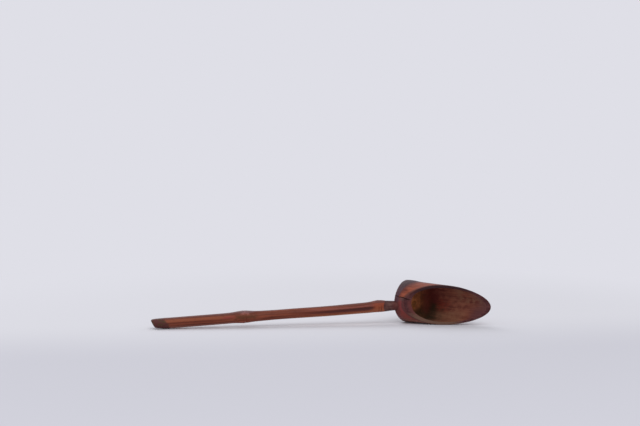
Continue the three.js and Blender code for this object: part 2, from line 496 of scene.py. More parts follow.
class Shade:
    """One output in a shader tree, on which sums are written as Python expressions."""

    def __init__(self, tree: "ShaderTree", socket: bpy.types.NodeSocket) -> None:
        """Wraps a socket of a tree."""
        self.tree = tree
        self.socket = socket

    def _sum(self, operation: str, first: Input, second: Input) -> "Shade":
        """A Math node on two values."""
        return self.tree.node("ShaderNodeMath", {"operation": operation}, {0: first, 1: second})

    def __add__(self, other: Input) -> "Shade":
        """self + other"""
        return self._sum("ADD", self, other)

    def __radd__(self, other: Input) -> "Shade":
        """other + self"""
        return self._sum("ADD", other, self)

    def __sub__(self, other: Input) -> "Shade":
        """self - other"""
        return self._sum("SUBTRACT", self, other)

    def __rsub__(self, other: Input) -> "Shade":
        """other - self"""
        return self._sum("SUBTRACT", other, self)

    def __mul__(self, other: Input) -> "Shade":
        """self * other"""
        return self._sum("MULTIPLY", self, other)

    def __rmul__(self, other: Input) -> "Shade":
        """other * self"""
        return self._sum("MULTIPLY", other, self)

    def __truediv__(self, other: Input) -> "Shade":
        """self / other"""
        return self._sum("DIVIDE", self, other)

    def __neg__(self) -> "Shade":
        """-self"""
        return self._sum("MULTIPLY", self, -1.0)

    def least(self, other: Input) -> "Shade":
        """The smaller of the two."""
        return self._sum("MINIMUM", self, other)

    def most(self, other: Input) -> "Shade":
        """The larger of the two."""
        return self._sum("MAXIMUM", self, other)

    def step(self, start: float, end: float) -> "Shade":
        """A smooth step from 0 at `start` to 1 at `end`, falling where `end` is the lower one."""
        settings = {"interpolation_type": "SMOOTHSTEP"}
        inputs = {"Value": self, "From Min": start, "From Max": end}
        return self.tree.node("ShaderNodeMapRange", settings, inputs)

    def stained(self, share: Input, code: str) -> "Shade":
        """This colour with a share of another one over it."""
        return self.tree.mix(share, self, colour(code))


@dataclass(frozen=True)
class Noise:
    """Soft noise round 0.5, with its waves in each millimetre along, to the side and up."""

    waves: tuple[float, float, float]
    detail: float = 3.0
    rough: float = 0.55


@dataclass(frozen=True)
class Place:
    """Where a point of a surface lies: along the grain, to the side and up."""

    along: Shade
    side: Shade
    up: Shade


class ShaderTree:
    """A material's or the world's node tree, to which nodes are added by expressions."""

    def __init__(self, owner: bpy.types.Material | bpy.types.World) -> None:
        """Empties the owner's tree and starts it afresh."""
        owner.use_nodes = True
        self.nodes = owner.node_tree.nodes
        self.links = owner.node_tree.links
        self.nodes.clear()

    def node(
        self,
        kind: str,
        settings: Mapping[str, Any] | None = None,
        inputs: Mapping[str | int, Input] | None = None,
        output: str | int = 0,
    ) -> Shade:
        """Adds one node.

        Args:
            kind: The node's type.
            settings: Its settings, set first.
            inputs: Values or links, by the sockets' names or numbers.
            output: The socket that is handed on.

        Returns:
            The chosen output, ready for expressions.
        """
        made = self.nodes.new(kind)
        for key, value in (settings or {}).items():
            setattr(made, key, value)
        for key, value in (inputs or {}).items():
            if isinstance(value, Shade):
                self.links.new(value.socket, made.inputs[key])
            else:
                made.inputs[key].default_value = value
        return Shade(self, made.outputs[output] if made.outputs else None)

    def beside(self, first: Shade, output: str | int) -> Shade:
        """Another output of the node that an output belongs to."""
        return Shade(self, first.socket.node.outputs[output])

    def attribute(self, kind: Surface, output: str = "Fac") -> Shade:
        """One of the piece's own attributes."""
        settings = {"attribute_name": kind.value, "attribute_type": "GEOMETRY"}
        return self.node("ShaderNodeAttribute", settings, output=output)

    def parts(self, vector: Shade) -> tuple[Shade, Shade, Shade]:
        """The three numbers of a vector."""
        first = self.node("ShaderNodeSeparateXYZ", None, {0: vector})
        return first, self.beside(first, 1), self.beside(first, 2)

    def place(self) -> Place:
        """Where a point lies in its piece's own frame, in millimetres."""
        return Place(*self.parts(self.attribute(Surface.GRAIN, "Vector")))

    def noise(self, kind: Noise) -> Shade:
        """Noise that follows the grain."""
        grain = self.attribute(Surface.GRAIN, "Vector")
        scaled = self.node("ShaderNodeVectorMath", {"operation": "MULTIPLY"}, {0: grain, 1: kind.waves})
        inputs = {"Vector": scaled, "Scale": 1.0, "Detail": kind.detail, "Roughness": kind.rough}
        return self.node("ShaderNodeTexNoise", None, inputs)

    def mix(self, share: Input, first: Input, second: Input) -> Shade:
        """A colour between two colours."""
        settings = {"data_type": "RGBA", "clamp_factor": True}
        return self.node("ShaderNodeMix", settings, {0: share, 6: first, 7: second}, output=2)

    def bump(self, height: Shade, distance: float) -> Shade:
        """A normal from a height, in millimetres for a height of 1."""
        inputs = {"Height": height, "Distance": distance * MILLIMETRE, "Strength": 1.0}
        return self.node("ShaderNodeBump", None, inputs)

    def finish(self, base: Shade, rough: Shade, normal: Shade, specular: float) -> None:
        """The surface shader and the material's output.

        Args:
            base: The base colour.
            rough: The roughness.
            normal: The normal with its bump.
            specular: The specular level, the same all over.
        """
        inputs = {"Base Color": base, "Roughness": rough, "Normal": normal, "Specular IOR Level": specular}
        shader = self.node("ShaderNodeBsdfPrincipled", None, inputs)
        self.node("ShaderNodeOutputMaterial", None, {"Surface": shader})


@dataclass(frozen=True)
class Edge:
    """A soft edge, from nothing at `start` to all at `end`, which may be the lower one.

    Noise shifts it by up to half of `wander` either way.
    """

    start: float
    end: float
    wander: float = 0.0

    def share(self, value: Shade, noise: Shade | None = None) -> Shade:
        """How far past the edge a value lies, from 0 to 1, with noise round 0."""
        if noise is not None and self.wander:
            value = value + noise * self.wander
        return value.step(self.start, self.end)


@dataclass(frozen=True)
class Strip:
    """A strip from `low` to `high`, with soft edges that reach `soft` either way."""

    low: float
    high: float
    soft: float
    wander: float = 0.0

    def share(self, value: Shade, noise: Shade | None = None) -> Shade:
        """How far inside the strip a value lies, from 0 to 1, with noise round 0."""
        rising = Edge(self.low - self.soft, self.low + self.soft, self.wander)
        falling = Edge(self.high + self.soft, self.high - self.soft, self.wander)
        return rising.share(value, noise) * falling.share(value, noise)


@dataclass(frozen=True)
class Mottle:
    """Two colours mixed by noise: all dark up to `low` and all light from `high` on."""

    dark: str
    light: str
    low: float
    high: float

    def by(self, noise: Shade) -> Shade:
        """The colour at each point."""
        return noise.tree.mix(noise.step(self.low, self.high), colour(self.dark), colour(self.light))


@dataclass(frozen=True)
class Stain:
    """A zone of another colour, which lies where its edges in all directions overlap."""

    colour: str
    strength: float
    along: Edge | Strip | None = None
    side: Edge | Strip | None = None
    up: Edge | Strip | None = None

    def share(self, place: Place, noise: Shade | None) -> Input:
        """How strong the stain is at each point."""
        total: Input = self.strength
        for name in ("along", "side", "up"):
            edge = getattr(self, name)
            if edge is not None:
                total = edge.share(getattr(place, name), noise) * total
        return total

    def over(
        self, base: Input, place: Place, noise: Shade | None = None, texture: Input = 1.0
    ) -> Shade:
        """Lays the stain over a colour.

        Args:
            base: The colour below.
            place: Where each point lies.
            noise: Noise round 0, by which the stain's edges wander.
            texture: How much of the stain shows.

        Returns:
            The stained colour.
        """
        share = self.share(place, noise) * texture
        return place.along.tree.mix(share, base, colour(self.colour))


def stained(base: Shade, stains: Sequence[Stain], place: Place, noise: Shade) -> Shade:
    """A colour with several stains laid over it, one after the other."""
    for stain in stains:
        base = stain.over(base, place, noise)
    return base


@dataclass(frozen=True)
class JointStain:
    """The stained zone round the bowl's joint: a maroon border round mottled grey and mauve.

    It reaches farther along the stem at the back than at the open side, and frays out
    along the grain there. Its grey grows towards the top, partly the joint's own grey and
    partly painted sheen.
    """

    length: float = 13.5
    lean: float = 0.51
    longest: float = 14.0
    mottle: Mottle = Mottle("543239", "5a454b", 0.42, 0.58)
    cloud: Noise = Noise((0.2, 0.2, 0.2), 4.0)
    speck: Noise = Noise((0.9, 0.9, 0.9), 2.0)
    cloud_drift: float = 7.0
    fringe: Noise = Noise((0.05, 0.8, 0.8))
    fringe_drift: float = 9.0
    fringe_side: Edge = Edge(-4.0, 6.0)
    high: Edge = Edge(2.0, 14.0)
    low: Edge = Edge(6.0, -3.0)
    top: Stain = Stain("3f2b2e", 0.85, up=Edge(12.0, 17.0))
    border: Edge = Edge(4.0, 0.5)
    border_maroon: str = "5c322f"
    inside: Edge = Edge(0.8, -1.8)

    def over(self, skin: Shade, place: Place) -> Shade:
        """Lays the stained zone over the skin.

        Args:
            skin: Colour of the skin without the stain.
            place: Where each point lies.

        Returns:
            The stained skin.
        """
        tree = skin.tree
        cloud, speck = tree.noise(self.cloud), tree.noise(self.speck)
        reach = (place.side * self.lean + self.length).least(self.longest)
        fringe = (tree.noise(self.fringe) - 0.5) * self.fringe_side.share(place.side)
        past = place.along - reach - (cloud - 0.5) * self.cloud_drift - fringe * self.fringe_drift
        high = self.high.share(place.up)
        skin = skin.stained(self.border.share(past) * (0.2 + 0.5 * high), self.border_maroon)
        # the grey grows towards the top: partly the joint's own grey, partly painted sheen
        grey = (cloud * 0.4 + speck * 0.6).step(self.mottle.low, self.mottle.high) * (0.25 + 0.75 * high)
        zone = tree.mix(grey, colour(self.mottle.dark), colour(self.mottle.light))
        zone = self.top.over(zone, place)
        return tree.mix(self.inside.share(past) * (1 - self.low.share(place.up) * 0.5), skin, zone)


@dataclass(frozen=True)
class BowlFinish:
    """The finish of the bowl: satin skin, matt cut faces and a streaked, stained hollow with
    painted shade in its deepest corner; the skin has painted bounce light below and
    painted shade where the handle enters.

    Places are in millimetres in the stem frame: along the stem, to the side away from the
    open one, and up.
    """

    skin_mottle: Mottle = Mottle("6a3326", "a05640", 0.38, 0.62)
    skin_wide: Noise = Noise((0.03, 0.35, 0.35))
    skin_fine: Noise = Noise((0.06, 2.2, 2.2))
    skin_stains_and_bounce: tuple[Stain, ...] = (
        Stain("664648", 0.85, up=Edge(7.6, 6.6, -3.2)),
        Stain("8d3c3d", 0.9, up=Edge(5.2, 2.6, -2.4)),
        Stain("7e3d32", 0.75, up=Edge(-2.0, -8.0, -8.0)),
        # painted bounce light: the skin made paler on its underside
        Stain("9a6c5e", 0.9, up=Edge(-11.0, -15.0, -8.0)),
        Stain("744c48", 0.7, side=Edge(-5.0, 3.0, 8.0)),
    )
    growth_marks: Stain = Stain("6a3326", 0.5, side=Edge(-5.0, 3.0, 8.0))
    growth_noise: Noise = Noise((0.1, 1.4, 1.4), 2.0)
    growth_lines: Edge = Edge(0.58, 0.7)
    rim: Stain = Stain("4a3433", 0.85)
    joint: JointStain = JointStain()
    # painted shade on the skin round the neck, where the handle enters the bowl
    entry_painted_shade: Stain = Stain(
        "5e332c", 0.6, along=Edge(7.5, 5.0, 2.0), side=Edge(3.0, -5.0, 8.0), up=Strip(-6.5, 3.5, 1.5)
    )

    end_mottle: Mottle = Mottle("503a31", "6a4c3b", 0.34, 0.66)
    end_cloud: Noise = Noise((0.22, 0.22, 0.22), 4.0)
    end_saw: Noise = Noise((0.1, 0.15, 1.9))
    end_wall: float = 13.4
    end_wall_soft: float = 8.0
    end_wall_wander: float = 30.0
    end_fibres: Noise = Noise((0.05, 2.2, 2.2), 2.0)
    end_dot_size: Edge = Edge(0.5, 0.6)
    end_dots: Stain = Stain("3a2620", 1.0)
    end_edge_zone: Edge = Edge(15.2**2, 17.2**2, 60.0)
    end_edge: Stain = Stain("3c2a29", 0.8)

    cut_mottle: Mottle = Mottle("452325", "603a3a", 0.4, 0.62)
    cut_wide: Noise = Noise((0.05, 0.5, 0.5))
    cut_dots: Noise = Noise((0.25, 3.0, 3.0))
    cut_red: Stain = Stain("6a3735", 0.8, along=Edge(34.0, 20.0), up=Edge(7.0, 2.0, 6.0))
    cut_inside: Edge = Edge(16.6**2, 15.2**2, 36.0)
    cut_stains: tuple[Stain, ...] = (
        Stain("745849", 0.85, along=Edge(56.0, 44.0), up=Edge(-4.0, -11.0, -6.0)),
        Stain("301d20", 0.8, up=Edge(8.0, 14.0, 6.0)),
    )

    hollow_mottle: Mottle = Mottle("5a2b23", "844e3c", 0.38, 0.62)
    hollow_wide: Noise = Noise((0.025, 0.35, 0.35))
    hollow_fine: Noise = Noise((0.06, 2.0, 2.0))
    hollow_cloud: Noise = Noise((0.22, 0.22, 0.22), 5.0, 0.65)
    low_olive: Stain = Stain("785440", 1.0, along=Strip(22.0, 52.0, 7.0), up=Edge(-5.0, -12.0, -14.0))
    high_olive: Stain = Stain("785440", 0.7, along=Edge(38.0, 50.0), up=Edge(-2.0, 4.0, 14.0))
    high_olive_spots: Edge = Edge(0.45, 0.6)
    maroon: Stain = Stain("522c30", 0.75, along=Edge(53.0, 64.0, 14.0), up=Edge(-2.0, -7.0, -7.0))
    # painted shade: the hollow's deepest corner by the floor, dark maroon with a near-black lower part
    corner_shade_end: Edge = Edge(20.0, 38.0, 14.0)
    corner_shade_red: str = "5c2420"
    corner_shade_black: Stain = Stain("36271a", 1.0, up=Edge(0.0, -6.0, -14.0))
    red_spots: Stain = Stain("7a2c20", 0.7, along=Strip(25.0, 37.0, 3.5), up=Strip(-9.0, 1.0, 3.0))
    red_spot_size: Edge = Edge(0.42, 0.54)
    tip_mauve: Stain = Stain("5a3a3c", 0.7, along=Edge(56.0, 74.0, 14.0))
    floor_mottle: Mottle = Mottle("6a3b26", "a8663c", 0.28, 0.7)
    floor_darkening: tuple[Stain, ...] = (
        # darker on the floor's lower part
        Stain("36271a", 0.85, up=Edge(-3.0, -9.0, -8.4)),
        # painted shade: the floor darkens towards the back side, into the shaded corner
        Stain("5c2420", 0.9, side=Edge(3.0, 15.0, 9.8)),
    )
    floor_end: Edge = Edge(15.0, 22.2, 3.0)

    crack_dark: str = "1c0f10"
    relief: Noise = Noise((0.08, 3.5, 3.5), 2.0)
    relief_depth: float = 0.12
    skin_roughness: float = 0.42
    cut_roughness: float = 0.62
    hollow_roughness: float = 0.55
    corner_roughness: float = 0.3
    fibre_roughness: float = 0.16
    specular: float = 0.11

    def skin(self, tree: ShaderTree) -> Shade:
        """Colour of the skin: streaked, redder at the open side, paler behind, with painted bounce light
        below and painted shade round the handle's entry.
        """
        place = tree.place()
        wide = tree.noise(self.skin_wide)
        drift = wide - 0.5
        skin = self.skin_mottle.by(wide * 0.6 + tree.noise(self.skin_fine) * 0.4)
        skin = stained(skin, self.skin_stains_and_bounce, place, drift)
        marks = self.growth_lines.share(tree.noise(self.growth_noise))
        skin = self.growth_marks.over(skin, place, drift, marks)
        skin = self.rim.over(skin, place, texture=tree.attribute(Surface.RIM))
        return self.entry_painted_shade.over(self.joint.over(skin, place), place, drift)

    def sawn(self, tree: ShaderTree) -> Shade:
        """Colour of the sawn end: the wall's dotted ring round the mottled joint, with saw marks."""
        place = tree.place()
        cloud = tree.noise(self.end_cloud)
        drift = cloud - 0.5
        squared = place.side * place.side + place.up * place.up
        middle, soft = self.end_wall**2, self.end_wall_soft
        wall = Edge(middle - soft, middle + soft, self.end_wall_wander).share(squared, drift)
        dots = self.end_dot_size.share(tree.noise(self.end_fibres)) * (0.2 + 0.5 * wall)
        face = self.end_mottle.by(cloud * 0.5 + tree.noise(self.end_saw) * 0.5)
        face = self.end_dots.over(face, place, texture=dots)
        return self.end_edge.over(face, place, texture=self.end_edge_zone.share(squared, drift))

    def cut(self, tree: ShaderTree) -> Shade:
        """Colour of the slanting cut: mauve-brown, redder inside, olive-brown below."""
        place = tree.place()
        wide = tree.noise(self.cut_wide)
        drift = wide - 0.5
        squared = place.side * place.side + place.up * place.up
        face = self.cut_mottle.by(wide * 0.5 + tree.noise(self.cut_dots) * 0.5)
        face = self.cut_red.over(face, place, drift, self.cut_inside.share(squared, drift))
        return stained(face, self.cut_stains, place, drift)

    def hollow(self, tree: ShaderTree) -> Shade:
        """Colour of the hollow: ochre floor, darker on its lower part and towards the back, a corner of
        painted shade in dark maroon and near-black, mottled streaks, mauve tip.
        """
        place = tree.place()
        wide, fine = tree.noise(self.hollow_wide), tree.noise(self.hollow_fine)
        cloud = tree.noise(self.hollow_cloud)
        drift = cloud - 0.5
        streaks = wide * 0.35 + fine * 0.3 + cloud * 0.35
        light = streaks.step(self.hollow_mottle.low, self.hollow_mottle.high)
        wall = self.hollow_mottle.by(streaks)
        wall = self.low_olive.over(wall, place, drift, 0.35 + 0.45 * light)
        wall = self.high_olive.over(wall, place, drift, self.high_olive_spots.share(cloud))
        wall = self.maroon.over(wall, place, drift)
        both = drift + (wide - 0.5)
        # painted shade in the deepest corner of the hollow
        corner = self.corner_shade_black.over(colour(self.corner_shade_red), place, drift)
        wall = tree.mix(self.corner_shade_end.share(place.along, both), corner, wall)
        spots = self.red_spot_size.share(cloud * 0.5 + fine * 0.5)
        wall = self.red_spots.over(wall, place, drift, spots)
        wall = self.tip_mauve.over(wall, place, both)
        floor = stained(self.floor_mottle.by(cloud), self.floor_darkening, place, drift)
        return tree.mix(self.floor_end.share(place.along, drift), floor, wall)

    def material(self) -> bpy.types.Material:
        """The material of the bowl, with its surfaces mixed by the masks."""
        made = bpy.data.materials.new("bowl_bamboo")
        tree = ShaderTree(made)
        cut, hollow = tree.attribute(Surface.CUT), tree.attribute(Surface.HOLLOW)
        base = tree.mix(tree.attribute(Surface.END), self.skin(tree), self.sawn(tree))
        base = tree.mix(cut, base, self.cut(tree))
        base = tree.mix(hollow, base, self.hollow(tree))
        base = base.stained(tree.attribute(Surface.CRACK), self.crack_dark)
        fine = tree.noise(self.relief)
        corner = Edge(self.corner_shade_end.end, self.corner_shade_end.start).share(tree.place().along)
        rough = self.skin_roughness + cut * (self.cut_roughness - self.skin_roughness)
        rough = rough + hollow * (self.hollow_roughness - self.skin_roughness)
        rough = rough + hollow * corner * self.corner_roughness + (fine - 0.5) * self.fibre_roughness
        normal = tree.bump(fine * (0.35 + (cut + hollow) * 0.65), self.relief_depth)
        tree.finish(base, rough, normal, self.specular)
        return made


@dataclass(frozen=True)
class CaneFinish:
    """The finish of the handle: satin cane with stained joints, painted light and shade in
    lengthwise bands, painted sheen along the top, a dark neck and far end.

    Places along the cane are in millimetres from the corner of the bowl. Heights round it
    are from -1 at the bottom to 1 at the top, and a little wavy.
    """

    skin_mottle: Mottle = Mottle("643022", "884834", 0.38, 0.62)
    skin_wide: Noise = Noise((0.02, 0.7, 0.7))
    skin_fine: Noise = Noise((0.05, 3.0, 3.0))
    waver: Noise = Noise((0.03, 0.7, 0.7))
    waver_height: float = 0.5
    far_length: Edge = Edge(135.0, 144.0)
    # painted light: a lit band along the upper side of the far length, partly its own lighter streak
    far_upper_lit_band: Stain = Stain("8c4c33", 0.9, up=Strip(0.28, 0.72, 0.12))
    # painted bounce light from the floor along the far length's underside
    far_painted_bounce: Stain = Stain("94665c", 0.8, up=Edge(-0.35, -0.75))
    far_red: Stain = Stain("883436", 0.8, along=Edge(152.0, 146.0), up=Strip(0.2, 0.62, 0.15))
    far_red_streaks: Edge = Edge(0.4, 0.6)
    near_length: Edge = Edge(96.0, 60.0)
    # the near length's dark middle band: partly painted shade where the lit side turns away, partly a darker
    # stain
    near_middle_shade_and_stain: Stain = Stain("5a2b24", 0.8, up=Strip(-0.15, 0.35, 0.15))
    # painted light: a reddish lit band along the upper side of the near length
    near_painted_lit_band: Stain = Stain("8a4c44", 0.7, up=Strip(0.4, 0.65, 0.1))
    near_lit_band_streaks: Edge = Edge(0.42, 0.52)
    # painted bounce light from the floor along the near length's underside
    near_painted_bounce: Stain = Stain("9c5c3c", 0.85, up=Edge(-0.3, -0.65))
    speck_noise: Noise = Noise((0.35, 1.6, 1.6), 2.0)
    speck_size: Edge = Edge(0.6, 0.7)
    specks: Stain = Stain("4c241c", 0.45)
    # the groove's colour: partly its own darker stain, partly painted shade in the recess
    groove_shade_and_stain: str = "502824"
    # painted sheen: greyish sky reflection along the top of the cane, with its own greyer top
    top_sheen_and_mauve: Stain = Stain("643e3a", 0.8, up=Edge(0.72, 1.0))

    joint_cloud: Noise = Noise((0.2, 0.4, 0.4), 4.0)
    joint_blots: Noise = Noise((0.35, 0.35, 0.35))
    joint_length: Strip = Strip(120.5, 138.0, 2.5, 6.0)
    joint_olive: Stain = Stain("583622", 0.75, up=Strip(-0.1, 0.58, 0.16, 0.6))
    joint_highlights_and_patch: tuple[Stain, ...] = (
        # painted highlight: a lighter mauve-grey band along the joint's top
        Stain("7c6062", 0.7, along=Strip(122.0, 134.5, 2.0, 6.0), up=Edge(0.75, 1.0)),
        # painted highlight: a pink patch on the top of the joint's ridge
        Stain("96605a", 0.8, along=Strip(127.5, 134.0, 1.8, 8.0), up=Strip(0.72, 0.98, 0.12, 0.8)),
        # a reddish patch below the joint
        Stain("9a5440", 0.7, along=Strip(129.5, 134.5, 1.6, 8.0), up=Strip(-1.0, -0.6, 0.14, 0.8)),
    )
    scar: Stain = Stain("5c2818", 0.55, along=Strip(129.0, 129.6, 0.3, 0.8), up=Edge(0.9, 0.6))
    ring_noise: Noise = Noise((0.3, 1.2, 1.2))
    ring: Mottle = Mottle("985438", "8c4029", -0.35, 0.35)
    ring_end: Edge = Edge(22.0, 16.0)
    ring_cloud_drift: float = 5.0
    ring_fine_drift: float = 4.0
    ring_mottle_drift: float = 1.6
    ring_strength: float = 0.9
    ring_below: Edge = Edge(0.4, -0.1)
    ring_lines: tuple[Stain, ...] = (
        Stain("5c2818", 0.85, along=Strip(12.3, 12.9, 0.25, 0.6)),
        Stain("5c2818", 0.6, along=Strip(14.3, 14.9, 0.25, 0.6)),
    )
    # painted sheen: a mauve reflection along the top of the ring
    ring_top_sheen: Stain = Stain("643e3a", 0.85, up=Edge(0.62, 0.85))

    neck: Mottle = Mottle("4a2a29", "64423c", 0.38, 0.6)
    neck_cloud: Noise = Noise((0.3, 0.4, 0.4), 4.0)
    neck_root: Stain = Stain("5e302b", 0.7, along=Edge(4.5, 0.5))
    neck_sides: Edge = Edge(0.4, 0.9)
    neck_edge: Stain = Stain("3a2224", 0.7)
    tenon: Mottle = Mottle("5a331c", "8c5428", 0.35, 0.65)
    tenon_end: Edge = Edge(-3.0, -5.0)
    far_end: Edge = Edge(194.2, 198.0, 9.0)
    far_end_lean: float = 3.5
    far_end_patches: Noise = Noise((0.28, 0.45, 0.45), 4.0)
    far_end_patch_size: Edge = Edge(0.44, 0.56)
    far_end_mauve: str = "58302d"
    far_end_olive: Stain = Stain("523826", 1.0, up=Edge(-0.7, 0.0))

    relief: Noise = Noise((0.08, 4.0, 4.0), 2.0)
    relief_depth: float = 0.05
    roughness: float = 0.42
    specular: float = 0.13

    def skin(self, tree: ShaderTree, place: Place) -> Shade:
        """Colour of the two lengths of cane.

        Args:
            tree: The material's tree.
            place: Where each point lies.

        Returns:
            Brown streaks with dark specks, a groove darkened partly by its stain and partly by
            painted shade, and a mauve top with painted sheen; on each length its own lengthwise
            bands of painted light and shade: on the far one a painted lit band above, partly a
            lighter streak, and painted bounce light below; on the near one a painted lit band
            above, painted bounce light below and a middle band of painted shade and stain.
        """
        wide, fine = tree.noise(self.skin_wide), tree.noise(self.skin_fine)
        far, near = self.far_length.share(place.along), self.near_length.share(place.along)
        skin = self.skin_mottle.by(wide * 0.6 + fine * 0.4)
        skin = self.far_upper_lit_band.over(skin, place, fine, far)
        skin = self.far_painted_bounce.over(skin, place, fine, far)
        streaks = 0.35 + 0.65 * self.far_red_streaks.share(fine)
        skin = self.far_red.over(skin, place, fine, far * streaks)
        skin = self.near_middle_shade_and_stain.over(skin, place, fine, near)
        skin = self.near_painted_lit_band.over(skin, place, fine, near * self.near_lit_band_streaks.share(fine))
        skin = self.near_painted_bounce.over(skin, place, fine, near)
        specks = self.speck_size.share(tree.noise(self.speck_noise))
        skin = self.specks.over(skin, place, texture=specks)
        skin = skin.stained(tree.attribute(Surface.GROOVE), self.groove_shade_and_stain)
        return self.top_sheen_and_mauve.over(skin, place, fine)

    def far_joint(self, base: Shade, place: Place) -> Shade:
        """Lays the far joint's stain over the skin.

        Args:
            base: Colour of the skin.
            place: Where each point lies.

        Returns:
            The skin with an olive zone, a painted highlight on top (a mauve-grey band and a pink patch), a
            reddish patch below and the sheath's scar.
        """
        tree = base.tree
        blots = tree.noise(self.joint_blots) - 0.5
        zone = self.joint_length.share(place.along, tree.noise(self.joint_cloud) - 0.5)
        base = self.joint_olive.over(base, place, blots, zone)
        base = stained(base, self.joint_highlights_and_patch, place, blots)
        return self.scar.over(base, place, tree.noise(self.ring_noise) - 0.5)

    def near_joint(self, base: Shade, place: Place) -> Shade:
        """Lays the orange ring at the near joint, with its thin darker lines, over the skin.

        Args:
            base: Colour of the skin.
            place: Where each point lies.

        Returns:
            The skin with the ring, which is browner below and has a mauve painted sheen at the top.
        """
        tree = base.tree
        cloud = tree.noise(self.joint_cloud) - 0.5
        fine = tree.noise(self.ring_noise) - 0.5
        drift = cloud * self.ring_cloud_drift + fine * self.ring_fine_drift
        ring = self.ring_end.share(place.along + drift)
        mottled = self.ring.by(place.up + cloud * self.ring_mottle_drift)
        base = tree.mix(ring * self.ring_strength, base, mottled)
        below = 0.35 + 0.65 * self.ring_below.share(place.up)
        for line in self.ring_lines:
            base = line.over(base, place, fine, below)
        return self.ring_top_sheen.over(base, place, fine, ring)

    def ends(self, base: Shade, place: Place) -> Shade:
        """The whittled neck, the sawn end of the tenon and the dark far end.

        Args:
            base: Colour of the skin with its joints.
            place: Where each point lies.

        Returns:
            The colour all over the handle.
        """
        tree = base.tree
        cloud, fine = tree.noise(self.neck_cloud), tree.noise(self.skin_fine)
        neck = self.neck_root.over(self.neck.by(cloud * 0.6 + fine * 0.4), place, fine)
        neck = self.neck_edge.over(neck, place, texture=self.neck_sides.share(place.up * place.up))
        base = tree.mix(tree.attribute(Surface.NECK), base, neck)
        base = tree.mix(self.tenon_end.share(place.along), base, self.tenon.by(fine))
        patches = self.far_end_patch_size.share(tree.noise(self.far_end_patches))
        dark = self.far_end_olive.over(colour(self.far_end_mauve), place, fine, patches)
        leaning = place.along - place.up * self.far_end_lean
        return tree.mix(self.far_end.share(leaning, cloud - 0.5), base, dark)

    def material(self, cane: Cane) -> bpy.types.Material:
        """The material of the handle.

        Args:
            cane: The cane, whose radius gives the height round it.

        Returns:
            The material, whose zones follow the distance along the cane and round it.
        """
        made = bpy.data.materials.new("handle_cane")
        tree = ShaderTree(made)
        own = tree.place()
        wavy = own.up / cane.radius_far + (tree.noise(self.waver) - 0.5) * self.waver_height
        place = Place(-own.along, own.side, wavy)
        base = self.far_joint(self.skin(tree, place), place)
        base = self.ends(self.near_joint(base, place), place)
        rough = self.roughness + (tree.noise(self.skin_fine) - 0.5) * 0.2
        tree.finish(base, rough, tree.bump(tree.noise(self.relief), self.relief_depth), self.specular)
        return made


@dataclass(frozen=True)
class SlipFinish:
    """The finish of the wedge: a split slip, matt, with straight fibres."""

    mottle: Mottle = Mottle("5a3520", "80522c", 0.4, 0.6)
    fibres: Noise = Noise((0.1, 3.0, 3.0))
    relief_depth: float = 0.08
    roughness: float = 0.7
    specular: float = 0.2

    def material(self) -> bpy.types.Material:
        """The material of the wedge."""
        made = bpy.data.materials.new("wedge_slip")
        tree = ShaderTree(made)
        fine = tree.noise(self.fibres)
        rough = self.roughness + (fine - 0.5) * 0.2
        tree.finish(self.mottle.by(fine), rough, tree.bump(fine, self.relief_depth), self.specular)
        return made


@dataclass
class Piece(ABC):
    """A piece of the spoon: a closed surface of rings in its own frame, with its finish."""

    stem: Stem
    cane: Cane
    placement: Placement

    @abstractmethod
    def rings(self) -> Array:
        """The surface as rings of points, with its relief."""

    @abstractmethod
    def masks(self, points: Array) -> dict[Surface, Array]:
        """The grain's coordinates, and a mask from 0 to 1 for each kind of surface."""

    @abstractmethod
    def material(self) -> bpy.types.Material:
        """The piece's material."""

    @abstractmethod
    def build(self) -> bpy.types.Object:
        """Makes the piece and says what it stands for and rides on."""

    def make(self, name: str, cutter: bpy.types.Object | None = None) -> bpy.types.Object:
        """Makes the piece's mesh and dresses it.

        Args:
            name: The object's name.
            cutter: A closed body whose space is taken out of the piece.

        Returns:
            The dressed object, at the origin.
        """
        made = add_object(name, closed_mesh(name, self.rings(), self.placement))
        if cutter is not None:
            cut_away(made, cutter)
        mesh = made.data
        write_masks(mesh, self.masks(self.placement.to_own(mesh_points(mesh))))
        shade_smooth(mesh)
        mesh.materials.clear()
        mesh.materials.append(self.material())
        return made


@dataclass(frozen=True)
class HollowProfile:
    """The hollow's profile from the centre of its floor to past the tip.

    `run` is the distance along the profile, `x` the place along the stem and `radius` the
    distance from its axis: the flat floor, a quarter circle in the corner, the wall.
    """

    run: Array
    x: Array
    radius: Array

    @classmethod
    def of(cls, stem: Stem, past_tip: float = 6.0) -> "HollowProfile":
        """The profile of a stem's hollow, which ends a little past the tip."""
        start = stem.solid_end + stem.floor_fillet
        wall = float(stem.cavity_radius(np.array(start)))
        turn = np.linspace(0.0, QUARTER_TURN, 60)
        fillet_x = stem.solid_end + stem.floor_fillet * (1 - np.cos(turn))
        fillet_r = wall - stem.floor_fillet * (1 - np.sin(turn))
        floor_r = np.linspace(0.0, fillet_r[0], 60)[:-1]
        wall_x = np.linspace(start, stem.length + past_tip, 900)[1:]
        x = np.concatenate([np.full(floor_r.shape, stem.solid_end), fillet_x, wall_x])
        radius = np.concatenate([floor_r, fillet_r, stem.cavity_radius(wall_x)])
        run = np.concatenate([[0.0], np.cumsum(np.hypot(np.diff(x), np.diff(radius)))])
        return cls(run, x, radius)


